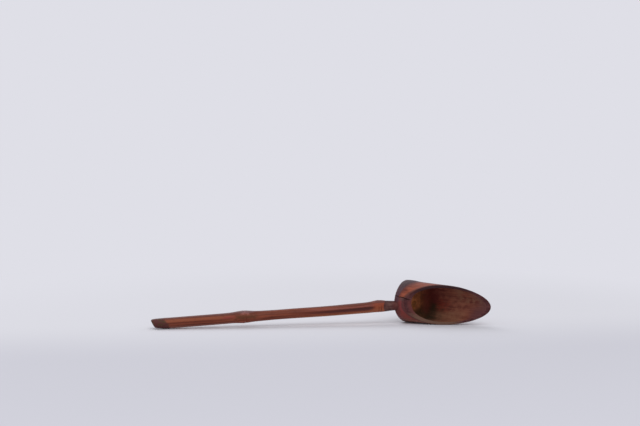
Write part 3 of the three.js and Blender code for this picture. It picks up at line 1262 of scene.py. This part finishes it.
@dataclass(frozen=True)
class BowlSection:
    """The bowl's surfaces without relief, as points at each angle round the stem."""

    stem: Stem
    hollow: HollowProfile
    angle: Array
    stretch: Array

    def on_skin(self, x: Array) -> Array:
        """Points of the skin at each place along the stem."""
        return around(self.angle, self.stem.outer_radius(x), x)

    def on_cut(self, radius: Array) -> Array:
        """Points of the slanting cut at each radius."""
        return around(self.angle, radius, self.stem.cut_at(self.stem.cut_across(self.angle) * radius))

    def hollow_radius(self, run: Array) -> Array:
        """Radius of the hollow at each distance along its profile."""
        return np.interp(run, self.hollow.run, self.hollow.radius) * self.stretch

    def on_hollow(self, run: Array) -> Array:
        """Points of the hollow at each distance along its profile."""
        return around(self.angle, self.hollow_radius(run), np.interp(run, self.hollow.run, self.hollow.x))

    def rim(self, rounds: int = 24) -> Array:
        """Where the cut meets the skin along the stem, by repeated substitution."""
        across = self.stem.cut_across(self.angle)
        x = np.full(self.angle.shape, self.stem.length / 2.0)
        for _ in range(rounds):
            x = self.stem.cut_at(across * self.stem.outer_radius(x))
        return x

    def lip(self) -> Array:
        """Where the cut meets the hollow along its profile, as the first crossing."""
        run = self.hollow.run
        height = (self.stem.cut_across(self.angle) * self.stretch)[:, None] * self.hollow.radius
        past = self.hollow.x - self.stem.cut_at(height)
        found = np.argmax(past >= 0.0, axis=1)
        rows = np.arange(self.angle.size)
        before, after = past[rows, found - 1], past[rows, found]
        return run[found - 1] - before / (after - before) * (run[found] - run[found - 1])


@dataclass(frozen=True)
class Crack:
    """The drying crack, which runs along the grain from the cut end into the cut face.

    It is a V that widens towards the rim and leans a little, and its line wavers.
    """

    angle: float = math.radians(22.5)
    half_width: float = 0.36
    depth: float = 1.5
    start: float = 0.1
    start_length: float = 0.8
    end_inside: tuple[float, float] = (1.4, 2.4)
    lean: float = 0.075
    wavers: tuple[tuple[float, float, float], ...] = ((0.012, 0.9, 0.6), (0.006, 2.3, 0.0))
    narrow_share: float = 0.65
    wide_from: float = 9.0
    across_reach: float = 1.1
    across_sides: int = 40

    def angles(self, even: Array, radius: float) -> Array:
        """Even angles round the stem, with more of them across the crack."""
        reach = self.across_reach / radius
        fine = np.linspace(self.angle - reach, self.angle + reach + self.lean, self.across_sides)
        near = np.abs(even - self.angle - self.lean / 2.0) < reach + self.lean / 2.0
        return np.sort(np.concatenate([even[~near], fine]))

    def share(self, points: Array, stem: Stem) -> Array:
        """How deep the crack is at each point, from 0 to 1.

        Each waver of its line is a sine wave: its height as an angle, its waves and start.
        """
        x, radius, angle = round_axis(points)
        waver = sum(height * np.sin(x * number + start) for height, number, start in self.wavers)
        waver += self.lean * (1.0 - x / stem.cut_start)
        off = np.abs(angle - self.angle - waver) * radius
        widening = (1 - self.narrow_share) * smooth(x, 0.0, self.wide_from)
        width = self.half_width * (self.narrow_share + widening)
        length = smooth(x, self.start, self.start + self.start_length)
        length = length * (1 - smooth(stem.outer_radius(x) - radius, *self.end_inside))
        return np.clip(1.0 - off / width, 0.0, 1.0) * length


@dataclass(frozen=True)
class EndWear:
    """How the rounding of the cut end's edge changes round the stem, as a bell curve."""

    angle: float
    extra: float
    reach: float

    def at(self, angle: Array) -> Array:
        """The extra rounding at each angle."""
        off = (angle - self.angle + math.pi) % FULL_TURN - math.pi
        return self.extra * bell(off, 0.0, self.reach)


@dataclass
class Bowl(Piece):
    """The bowl: the stem's closed end, its wall, the slanting rim and the hollow."""

    cane_placement: Placement
    finish: BowlFinish = BowlFinish()
    crack: Crack = Crack()
    sides: int = 324
    end_wear: tuple[EndWear, ...] = (
        EndWear(math.radians(-55.0), 1.9, 0.6),
        EndWear(math.radians(5.0), -1.2, 0.75),
    )
    outer_edge: float = 0.8
    outer_edge_share: float = 0.3
    inner_edge: float = 0.4
    inner_edge_share: float = 0.25
    joint_length: float = 11.0
    joint_length_share: float = 0.6
    hole_past_floor: float = 4.0
    hole_sides: int = 64
    tenon_clearance: float = 0.05
    thin_wall_angle: float = math.radians(42.0)
    thin_wall_reach: float = 0.55
    thin_wall_share: float = 0.06

    skin_ease: float = 0.06
    skin_ribs: Unevenness = Unevenness(3, (90.0, 1.6, 1.6), 0.012)
    skin_waves: Unevenness = Unevenness(7, (24.0, 14.0, 14.0), 0.03)
    hollow_strips: Unevenness = Unevenness(11, (60.0, 2.6, 2.6), 0.05)
    hollow_waves: Unevenness = Unevenness(7, (24.0, 14.0, 14.0), 0.07)
    knife_facets: Unevenness = Unevenness(19, (9.0, 9.0, 9.0))
    knife_steps: float = 1.6
    knife_depth: float = 0.06
    sheath_scar: tuple[Swelling, ...] = (
        Swelling(3.9, 0.06, 0.35, 0.35),
        Swelling(4.9, -0.07, 0.6, 0.6),
    )
    saw_teeth: Unevenness = Unevenness(23, (60.0, 40.0, 2.4), 0.03)
    saw_ease: float = 0.05
    seam_depth: float = 0.14
    seam_reach: float = 0.7

    skin_thickness: tuple[float, float] = (0.12, 0.4)
    end_thickness: tuple[float, float] = (0.1, 0.7)
    face_thickness: tuple[float, float] = (0.6, 0.9)
    face_from: tuple[float, float] = (5.0, 7.0)
    rim_width: tuple[float, float] = (0.3, 3.2)
    floor_from: tuple[float, float] = (12.3, 12.6)
    wall_from: tuple[float, float] = (-0.5, -0.25)
    hollow_from: tuple[float, float] = (0.6, 0.95)

    def stretch(self, angle: Array) -> Array:
        """How much wider the hollow is at each angle, where the wall is thinner above the lip."""
        return 1.0 + self.thin_wall_share * bell(angle, self.thin_wall_angle, self.thin_wall_reach)

    def plain_rings(self) -> Array:
        """The whole surface as rings, from the centre of the cut end to that of the floor.

        Each angle has its own profile: out over the end, round its edge, along the skin to
        where the slanting cut meets it, over the cut face and back along the hollow.
        """
        stem = self.stem
        angle = np.linspace(0.0, FULL_TURN, self.sides, endpoint=False)
        angle = self.crack.angles(angle, stem.radius)
        section = BowlSection(stem, HollowProfile.of(stem), angle, self.stretch(angle))
        rim_x, lip_run = section.rim(), section.lip()
        rim_r, lip_r = stem.outer_radius(rim_x), section.hollow_radius(lip_run)

        rounding = stem.end_rounding + sum(wear.at(angle) for wear in self.end_wear)
        end_r = stem.outer_radius(rounding)
        turn = between(0.0, QUARTER_TURN, 8, closed=False)
        skin_end = rim_x - self.outer_edge
        longest = self.joint_length_share * (skin_end - rounding)
        joint_end = rounding + np.minimum(longest, self.joint_length)
        face = rim_r - lip_r
        face_outer = rim_r - np.minimum(self.outer_edge, self.outer_edge_share * face)
        face_inner = lip_r + np.minimum(self.inner_edge, self.inner_edge_share * face)
        hollow_end = lip_run - self.inner_edge
        on_skin, on_cut, on_hollow = section.on_skin, section.on_cut, section.on_hollow
        parts = (
            around(angle, between(0.0, end_r - rounding, 33, closed=False), 0.0),
            around(angle, end_r - rounding * (1 - np.sin(turn)), rounding * (1 - np.cos(turn))),
            on_skin(between(rounding, joint_end, 40, closed=False)),
            on_skin(between(joint_end, skin_end, 51)),
            corner_curve(on_skin(skin_end), on_cut(rim_r), on_cut(face_outer), 5),
            on_cut(between(face_outer, face_inner, 13)),
            corner_curve(on_cut(face_inner), on_cut(lip_r), on_hollow(hollow_end), 4),
            on_hollow(between(hollow_end, 0.0, 92)),
        )
        return np.concatenate(parts, axis=0)

    def masks(self, points: Array) -> dict[Surface, Array]:
        """What each point of the bowl is.

        Args:
            points: Places in the stem frame.

        Returns:
            The grain's coordinates and a mask from 0 to 1 for each kind of surface.
        """
        stem = self.stem
        x, radius, angle = round_axis(points)
        before_cut = stem.cut_at(stem.cut_across(angle) * radius) - x
        under_skin = smooth(stem.outer_radius(x) - radius, *self.skin_thickness)
        wall = stem.cavity_radius(x) * self.stretch(angle) - radius
        hollow = smooth(x, *self.floor_from) * smooth(wall, *self.wall_from)
        hollow = hollow * smooth(before_cut, *self.hollow_from)
        cut = under_skin * (1 - smooth(np.abs(before_cut), *self.face_thickness))
        cut = cut * smooth(x, *self.face_from)
        return {
            Surface.GRAIN: points,
            Surface.CUT: cut * (1 - hollow),
            Surface.HOLLOW: hollow,
            Surface.END: under_skin * (1 - smooth(x, *self.end_thickness)),
            Surface.RIM: (1 - smooth(before_cut, *self.rim_width)) * (1 - under_skin),
            Surface.CRACK: self.crack.share(points, stem) ** 0.5,
        }

    def relief(self, rings: Array) -> Array:
        """How far each point moves out along its normal, in millimetres.

        The skin eases in a little everywhere, so that the bowl stays in its box. It has
        fine ribs along the grain and the sheath's scar round the joint. The hollow has
        wider ribs, the cut face flat knife facets, and the sawn end saw marks and the seam
        of its wall.
        """
        points = rings.reshape(-1, 3)
        masks = self.masks(points)
        x, radius, _ = round_axis(points)
        cut, hollow = masks[Surface.CUT], masks[Surface.HOLLOW]
        scar = sum(line.rise(x) for line in self.sheath_scar)
        skin = self.skin_ribs.sunk(points) + self.skin_waves.sunk(points) + scar - self.skin_ease
        inside = self.hollow_strips.height(points) + self.hollow_waves.height(points)
        flats = np.round(self.knife_facets.height(points) * self.knife_steps) / self.knife_steps - 1.0
        sawn = self.saw_teeth.height(points) - self.saw_ease
        sawn -= self.seam_depth * bell(radius, self.finish.end_wall, self.seam_reach)
        out = (1 - np.clip(cut + hollow, 0.0, 1.0)) * skin + hollow * inside
        out += cut * self.knife_depth * flats + masks[Surface.END] * sawn
        return out.reshape(rings.shape[:2])

    def rings(self) -> Array:
        """The rings with their relief along the normals and the crack straight inwards."""
        rings = self.plain_rings()
        towards_axis = rings * np.array([0.0, -1.0, -1.0])
        towards_axis /= np.maximum(np.linalg.norm(towards_axis, axis=-1, keepdims=True), 1e-9)
        crack = self.crack.depth * self.crack.share(rings, self.stem)[..., None] * towards_axis
        return rings + surface_normals(rings) * self.relief(rings)[..., None] + crack

    def hole(self) -> bpy.types.Object:
        """The body that cuts the hole: the tenon and neck, a little thicker."""
        inside = self.cane.floor_along(self.stem) + self.cane.neck_radius + self.hole_past_floor
        along = between(self.cane.neck_length, -inside, 40)
        along = np.concatenate([along[:1], along, along[-1:]])
        radius = self.cane.radius(along) + self.tenon_clearance
        radius[0] = radius[-1] = 0.0
        rings = around(np.linspace(0.0, FULL_TURN, self.hole_sides, endpoint=False), radius, -along)
        return add_object("hole", closed_mesh("hole", rings, self.cane_placement))

    def material(self) -> bpy.types.Material:
        """The bowl's material."""
        return self.finish.material()

    def build(self) -> bpy.types.Object:
        """Makes the bowl, with the tapered hole that the tenon goes through."""
        made = self.make("bamboo_bowl", self.hole())
        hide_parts("bowl")
        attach(made, "root")
        return made


@dataclass
class Handle(Piece):
    """The cane: tenon, whittled neck, two joints, the groove and the slanted far end."""

    finish: CaneFinish = CaneFinish()
    sides: int = 112
    neck_facets: int = 9
    facet_twist: float = 0.07
    facet_share: float = 0.55
    facet_run_out: float = 1.2
    groove_nose_power: float = 0.6
    groove_far_width: float = 0.55
    groove_ease: float = 2.0
    shoulder: float = 8.5
    shoulder_scoop: float = 2.0
    shoulder_step: float = 0.08
    far_reach: float = 0.7
    edge: float = 0.5
    edge_top: float = 2.3
    edge_length: float = 1.3
    inner_edge: float = 0.3
    core_rounding: float = 0.06
    tenon_edge: float = 0.25
    least_face: float = 0.6
    near_joint_reach: float = 7.0
    far_joint_reach: float = 11.0
    kerf_clearance: float = 0.04
    kerf_past: float = 2.0

    ease: float = 0.03
    ribs: Unevenness = Unevenness(5, (120.0, 0.9, 0.9), 0.012)
    waves: Unevenness = Unevenness(9, (30.0, 9.0, 9.0), 0.03)
    sheath_scars: tuple[Swelling, ...] = (
        Swelling(13.4, -0.1, 0.5, 0.5),
        Swelling(14.4, 0.1, 0.3, 0.3),
        Swelling(121.5, -0.06, 0.5, 0.5),
        Swelling(129.3, -0.07, 0.35, 0.35),
        Swelling(130.4, -0.1, 0.5, 0.5),
        Swelling(131.4, 0.1, 0.3, 0.3),
    )
    neck_edge_soft: float = 0.3

    def groove(self, points: Array) -> Array:
        """How deep the groove is, from 0 to 1.

        It starts as a point above the first joint and is as deep as a share of a parabola
        across its width. Depth and width fade to nothing at its far end.
        """
        cane = self.cane
        x, radius, angle = round_axis(points)
        start = cane.near_joint.at + cane.groove_start
        nose = np.clip((-x - start) / cane.groove_nose, 0.0, 1.0) ** self.groove_nose_power
        fade = np.clip((start + cane.groove_length + x) / cane.groove_length, 0.0, 1.0)
        narrowing = self.groove_far_width + (1 - self.groove_far_width) * fade
        off = np.abs(angle * radius) / np.maximum(cane.groove_half_width * nose * narrowing, 1e-6)
        return np.clip(1.0 - off**2, 0.0, 1.0) * fade * smooth(-x, start, start + self.groove_ease)

    def shoulder_at(self, angle: Array) -> Array:
        """Where the neck ends: farther along the cane at the two sides than above and below."""
        return self.shoulder + self.shoulder_scoop * np.cos(angle) ** 2

    def facets(self, along: Array, angle: Array) -> Array:
        """How far the knife's flats on the neck go in, in millimetres.

        The flats make the neck a polygon: at each angle the loss is the circle's radius
        less the distance to the nearest side.
        """
        span = FULL_TURN / self.neck_facets
        off = (angle + self.facet_twist * along) % span - span / 2.0
        loss = self.cane.neck_radius * (1.0 - math.cos(span / 2.0) / np.cos(off))
        end = self.shoulder_at(angle)
        return self.facet_share * loss * (1 - smooth(along, end - self.facet_run_out, end))

    def plain_rings(self) -> Array:
        """The whole surface as rings, from the bottom of the hollow core to the tenon's end.

        The rings run up the core, over the slanted far end, along the skin and over the
        flush end of the tenon. Those at either end lean with the slanted cuts.
        """
        cane, stem = self.cane, self.stem
        angle = np.linspace(0.0, FULL_TURN, self.sides, endpoint=False)
        lean = np.sin(angle) * math.tan(cane.far_slant)
        far = cane.length + self.far_reach

        def on_far_end(radius: Array | float) -> Array:
            """The slanted far end at each radius."""
            return around(angle, radius, -(far + radius * lean))

        def on_skin(along: Array) -> Array:
            """The skin at each distance from the bowl."""
            return around(angle, cane.radius(along), -along)

        def on_tenon_end(radius: Array) -> Array:
            """The tenon's end, flush with the floor of the hollow, at each radius."""
            return around(angle, radius, cane.flush_at(stem, -radius * np.cos(angle)))

        inner, outer = cane.lumen_radius, cane.radius_far - cane.far_taper
        rise = between(0.0, 1.0, 40)
        core_start = cane.far_joint.at + cane.lumen_stop
        core_end = far + inner * lean - self.inner_edge
        core_radius = inner * (1 - (1 - np.clip(rise / self.core_rounding, 0.0, 1.0)) ** 2) ** 0.5
        core = around(angle, core_radius, -(core_start + rise * (core_end - core_start)))
        edge = self.edge + self.edge_top * np.maximum(np.sin(angle), 0.0)
        face_start = inner + self.inner_edge
        face_end = outer - np.minimum(edge, outer - inner - self.least_face)
        skin_end = far + outer * lean - self.edge_length * edge
        taper_start = cane.length - cane.far_taper_length
        parts = [
            core,
            corner_curve(core[-1], on_far_end(inner), on_far_end(face_start), 3),
            on_far_end(between(face_start, face_end, 9)),
            corner_curve(on_far_end(face_end), on_far_end(outer), on_skin(skin_end), 5),
            on_skin(between(skin_end, taper_start, 25, closed=False)),
        ]

        before_far = cane.far_joint.at - self.far_joint_reach
        past_far = cane.far_joint.at + self.far_joint_reach
        past_near = cane.near_joint.at + self.near_joint_reach
        stops = (taper_start, past_far, before_far, past_near, 0.0)
        for start, stop, count in zip(stops, stops[1:], (60, 66, 120, 90)):
            parts.append(on_skin(between(start, stop, count, closed=False)))

        last_radius = cane.radius(np.array(-cane.floor_along(stem)))
        tenon_end = self.tenon_edge - cane.flush_at(stem, -last_radius * np.cos(angle))
        tip_radius = cane.radius(tenon_end)
        cap_start = tip_radius - self.tenon_edge
        parts += [
            on_skin(between(0.0, tenon_end, 26)),
            corner_curve(on_skin(tenon_end), on_tenon_end(tip_radius), on_tenon_end(cap_start), 3),
            on_tenon_end(between(cap_start, 0.0, 12)),
        ]
        return np.concatenate(parts, axis=0)

    def relief(self, rings: Array) -> Array:
        """How far each point of the skin moves out along its normal, in millimetres."""
        cane = self.cane
        x, radius, angle = round_axis(rings)
        along = -x
        core = 0.8 * cane.lumen_radius
        skin = smooth(radius, core + 1.0, core + 1.4)
        skin = skin * smooth(along, 4.0 - cane.floor_along(self.stem), -1.0)
        skin = np.maximum(skin, smooth(along, -2.0, 0.0) * (radius > cane.lumen_radius + 1.0))
        out = self.ribs.sunk(rings) + self.waves.sunk(rings) - self.ease
        out += sum(line.rise(along) for line in self.sheath_scars)
        past = along - self.shoulder_at(angle)
        out -= self.shoulder_step * (1 - smooth(past, -self.neck_edge_soft, self.neck_edge_soft))
        out -= self.facets(along, angle) + cane.groove_depth * self.groove(rings)
        return out * skin

    def bent(self, points: Array, sign: float = 1.0) -> Array:
        """Points of the straight cane on the bent one, or back again with a sign of -1."""
        moved = points.copy()
        moved[..., 2] += sign * self.cane.sway(-points[..., 0])
        return moved

    def rings(self) -> Array:
        """The rings with their relief along the normals, on the bent cane."""
        rings = self.plain_rings()
        return self.bent(rings + surface_normals(rings) * self.relief(rings)[..., None])

    def masks(self, points: Array) -> dict[Surface, Array]:
        """The grain's coordinates and the masks of the groove and the whittled neck."""
        straight = self.bent(points, -1.0)
        x, _, angle = round_axis(straight)
        past = -x - self.shoulder_at(angle)
        return {
            Surface.GRAIN: straight,
            Surface.GROOVE: smooth(self.groove(straight), 0.05, 0.45),
            Surface.NECK: 1 - smooth(past, -self.neck_edge_soft, self.neck_edge_soft),
        }

    def kerf(self) -> bpy.types.Object:
        """The body that slits the tenon for the wedge, a little thicker than the wedge."""
        wedge = Wedge(self.stem, self.cane, self.placement)
        rings = wedge.rings(self.kerf_clearance, past=self.kerf_past)
        return add_object("kerf", closed_mesh("kerf", rings, self.placement))

    def material(self) -> bpy.types.Material:
        """The handle's material."""
        return self.finish.material(self.cane)

    def build(self) -> bpy.types.Object:
        """Makes the handle, with the kerf in its tenon."""
        made = self.make("cane_handle", self.kerf())
        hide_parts("handle")
        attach(made, "root")
        return made


@dataclass
class Wedge(Piece):
    """The thin slip that spreads the tenon, cut flush with the floor of the hollow."""

    finish: SlipFinish = SlipFinish()
    sides: int = 64
    squareness: float = 0.28
    side_ease: float = 0.12

    def rings(self, extra: float = 0.0, past: float = 0.0) -> Array:
        """The slip as rings along the cane, from its thin tip to its flush end.

        Each ring is a rounded rectangle: the cosine and sine of the angle, each raised to
        a small power, times half the width and half the thickness.

        Args:
            extra: How much thicker each half is, for the kerf that holds the slip.
            past: How far the body goes past the tenon on either side and at its end.

        Returns:
            The rings, with the first and last shrunk to the middle.
        """
        angle = np.linspace(0.0, FULL_TURN, self.sides, endpoint=False)
        wide, thick = (np.sign(t) * np.abs(t) ** self.squareness for t in (np.cos(angle), np.sin(angle)))
        floor = self.cane.floor_along(self.stem)
        tip = floor - self.cane.wedge_length - extra
        share = between(0.0, 1.0, 40)
        side = -(self.cane.radius(-(tip + share * (floor - tip))) - self.side_ease + past) * wide
        flush = self.cane.flush_at(self.stem, side) + past
        x = tip + share * (flush - tip)
        half = self.cane.wedge_half(x, self.stem) + extra
        body = np.stack([x, side, half * thick], axis=-1)
        ends = [np.broadcast_to(end.mean(axis=0), (1, self.sides, 3)) for end in (body[0], body[-1])]
        return np.concatenate([ends[0], body, ends[1]], axis=0)

    def masks(self, points: Array) -> dict[Surface, Array]:
        """The grain's coordinates: the slip is alike all over."""
        return {Surface.GRAIN: points}

    def material(self) -> bpy.types.Material:
        """The wedge's material."""
        return self.finish.material()

    def build(self) -> bpy.types.Object:
        """Makes the wedge."""
        made = self.make("tenon_slip")
        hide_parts("tenon_wedge")
        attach(made, "root")
        return made


@dataclass(frozen=True)
class Lamp:
    """A round soft lamp that looks at the object: its place, size in metres and watts."""

    name: str
    place: tuple[float, float, float]
    size: float
    power: float

    def build(self) -> None:
        """Makes the lamp, which the camera does not see."""
        light = bpy.data.lights.new(self.name, "AREA")
        light.shape = "DISK"
        light.size = self.size
        light.energy = self.power
        made = bpy.data.objects.new(self.name, light)
        made.location = self.place
        made.rotation_mode = "QUATERNION"
        made.rotation_quaternion = (-Vector(self.place)).to_track_quat("-Z", "Y")
        made.visible_camera = False
        bpy.context.scene.collection.objects.link(made)


@dataclass
class Studio:
    """The pale floor, the soft light and the camera, in metres."""

    floor_radius: float = 5.0
    floor_sides: int = 96
    floor_front: str = "d2d2dc"
    floor_back: str = "dfdfe7"
    front_to_back: Edge = Edge(-0.15, 0.04)
    shadow_end: Edge = Edge(0.22, 0.5)
    backdrop_start: Edge = Edge(0.8, 1.6)
    lamps: tuple[Lamp, ...] = (
        Lamp("front_lamp", (0.2, -1.3, 1.65), 1.8, 15.0),
        Lamp("back_lamp", (-0.6, 1.15, 1.35), 1.8, 12.0),
    )
    sky_strength: float = 0.53
    camera_place: tuple[float, float, float] = (-0.166366, -1.146888, 0.177872)
    camera_azimuth: float = math.radians(-8.246)
    camera_pitch: float = math.radians(4.0)
    lens: float = 76.5
    sensor: float = 36.0

    def floor(self) -> bpy.types.Object:
        """A wide disc that shows the object's shadow near it and the backdrop far off."""
        mesh = bpy.data.meshes.new("floor")
        angle = np.linspace(0.0, FULL_TURN, self.floor_sides, endpoint=False)
        ring = np.stack([np.cos(angle), np.sin(angle), 0.0 * angle], axis=-1) * self.floor_radius
        mesh.from_pydata(ring.tolist(), [], [list(range(self.floor_sides))])
        mesh.materials.append(self.floor_material())
        made = add_object("floor", mesh)
        return made

    def floor_material(self) -> bpy.types.Material:
        """Pale paper near the object, which turns into an evenly lit backdrop far off."""
        material = bpy.data.materials.new("floor")
        tree = ShaderTree(material)
        place = tree.node("ShaderNodeTexCoord", output="Object")
        _, y, _ = tree.parts(place)
        front, back = colour(self.floor_front), colour(self.floor_back)
        base = tree.mix(self.front_to_back.share(y), front, back)
        length = tree.node("ShaderNodeVectorMath", {"operation": "LENGTH"}, {0: place}, "Value")
        far = tree.mix(self.backdrop_start.share(length), base, back)
        paper = tree.node("ShaderNodeBsdfDiffuse", None, {"Color": base})
        glow = tree.node("ShaderNodeEmission", None, {"Color": far})
        seen = self.background_rays(tree) * self.shadow_end.share(length)
        surface = tree.node("ShaderNodeMixShader", None, {0: seen, 1: paper, 2: glow})
        tree.node("ShaderNodeOutputMaterial", None, {"Surface": surface})
        return material

    @staticmethod
    def background_rays(tree: ShaderTree) -> Shade:
        """1 for rays from the camera, in reflections and through glass, 0 for the others."""
        path = tree.node("ShaderNodeLightPath", output="Is Camera Ray")
        return path.most(tree.beside(path, "Is Glossy Ray")).most(tree.beside(path, "Is Transmission Ray"))

    def sky(self) -> None:
        """Even light from all round, with the backdrop's colour where it is seen."""
        world = bpy.data.worlds.new("studio")
        bpy.context.scene.world = world
        tree = ShaderTree(world)
        even = {"Color": (1.0, 1.0, 1.0, 1.0), "Strength": self.sky_strength}
        backdrop = {"Color": colour(self.floor_back), "Strength": 1.0}
        light, shown = (tree.node("ShaderNodeBackground", None, inputs) for inputs in (even, backdrop))
        surface = tree.node("ShaderNodeMixShader", None, {0: self.background_rays(tree), 1: light, 2: shown})
        tree.node("ShaderNodeOutputWorld", None, {"Surface": surface})

    def camera(self) -> None:
        """The camera, a little above the spoon and to its left, looking slightly down."""
        lens = bpy.data.cameras.new("camera")
        lens.sensor_fit = "HORIZONTAL"
        lens.sensor_width = self.sensor
        lens.lens = self.lens
        made = bpy.data.objects.new("camera", lens)
        azimuth, pitch = self.camera_azimuth, self.camera_pitch
        flat = math.cos(pitch)
        forward = Vector((-math.sin(azimuth) * flat, math.cos(azimuth) * flat, -math.sin(pitch)))
        made.location = self.camera_place
        made.rotation_mode = "QUATERNION"
        made.rotation_quaternion = forward.to_track_quat("-Z", "Y")
        bpy.context.scene.collection.objects.link(made)
        bpy.context.scene.camera = made

    def build(self) -> None:
        """Makes the camera, the floor and the lights, and sets the plain view."""
        self.camera()
        self.floor()
        self.sky()
        for lamp in self.lamps:
            lamp.build()
        bpy.context.scene.view_settings.view_transform = "Standard"


def main() -> None:
    """Builds the studio and the spoon."""
    logging.basicConfig(level=logging.INFO, format="%(name)s: %(message)s")
    stem, cane = Stem(), Cane()
    lie = Lie(stem, cane)
    on_stem = lie.stem_placement(frame["record"])
    on_cane = lie.cane_placement(on_stem)
    Studio().build()
    pieces = (
        Bowl(stem, cane, on_stem, on_cane),
        Handle(stem, cane, on_cane),
        Wedge(stem, cane, on_cane),
    )
    for piece in pieces:
        made = piece.build()
        log.info("%s: %d faces", made.name, len(made.data.polygons))


if __name__ == "__main__":
    main()
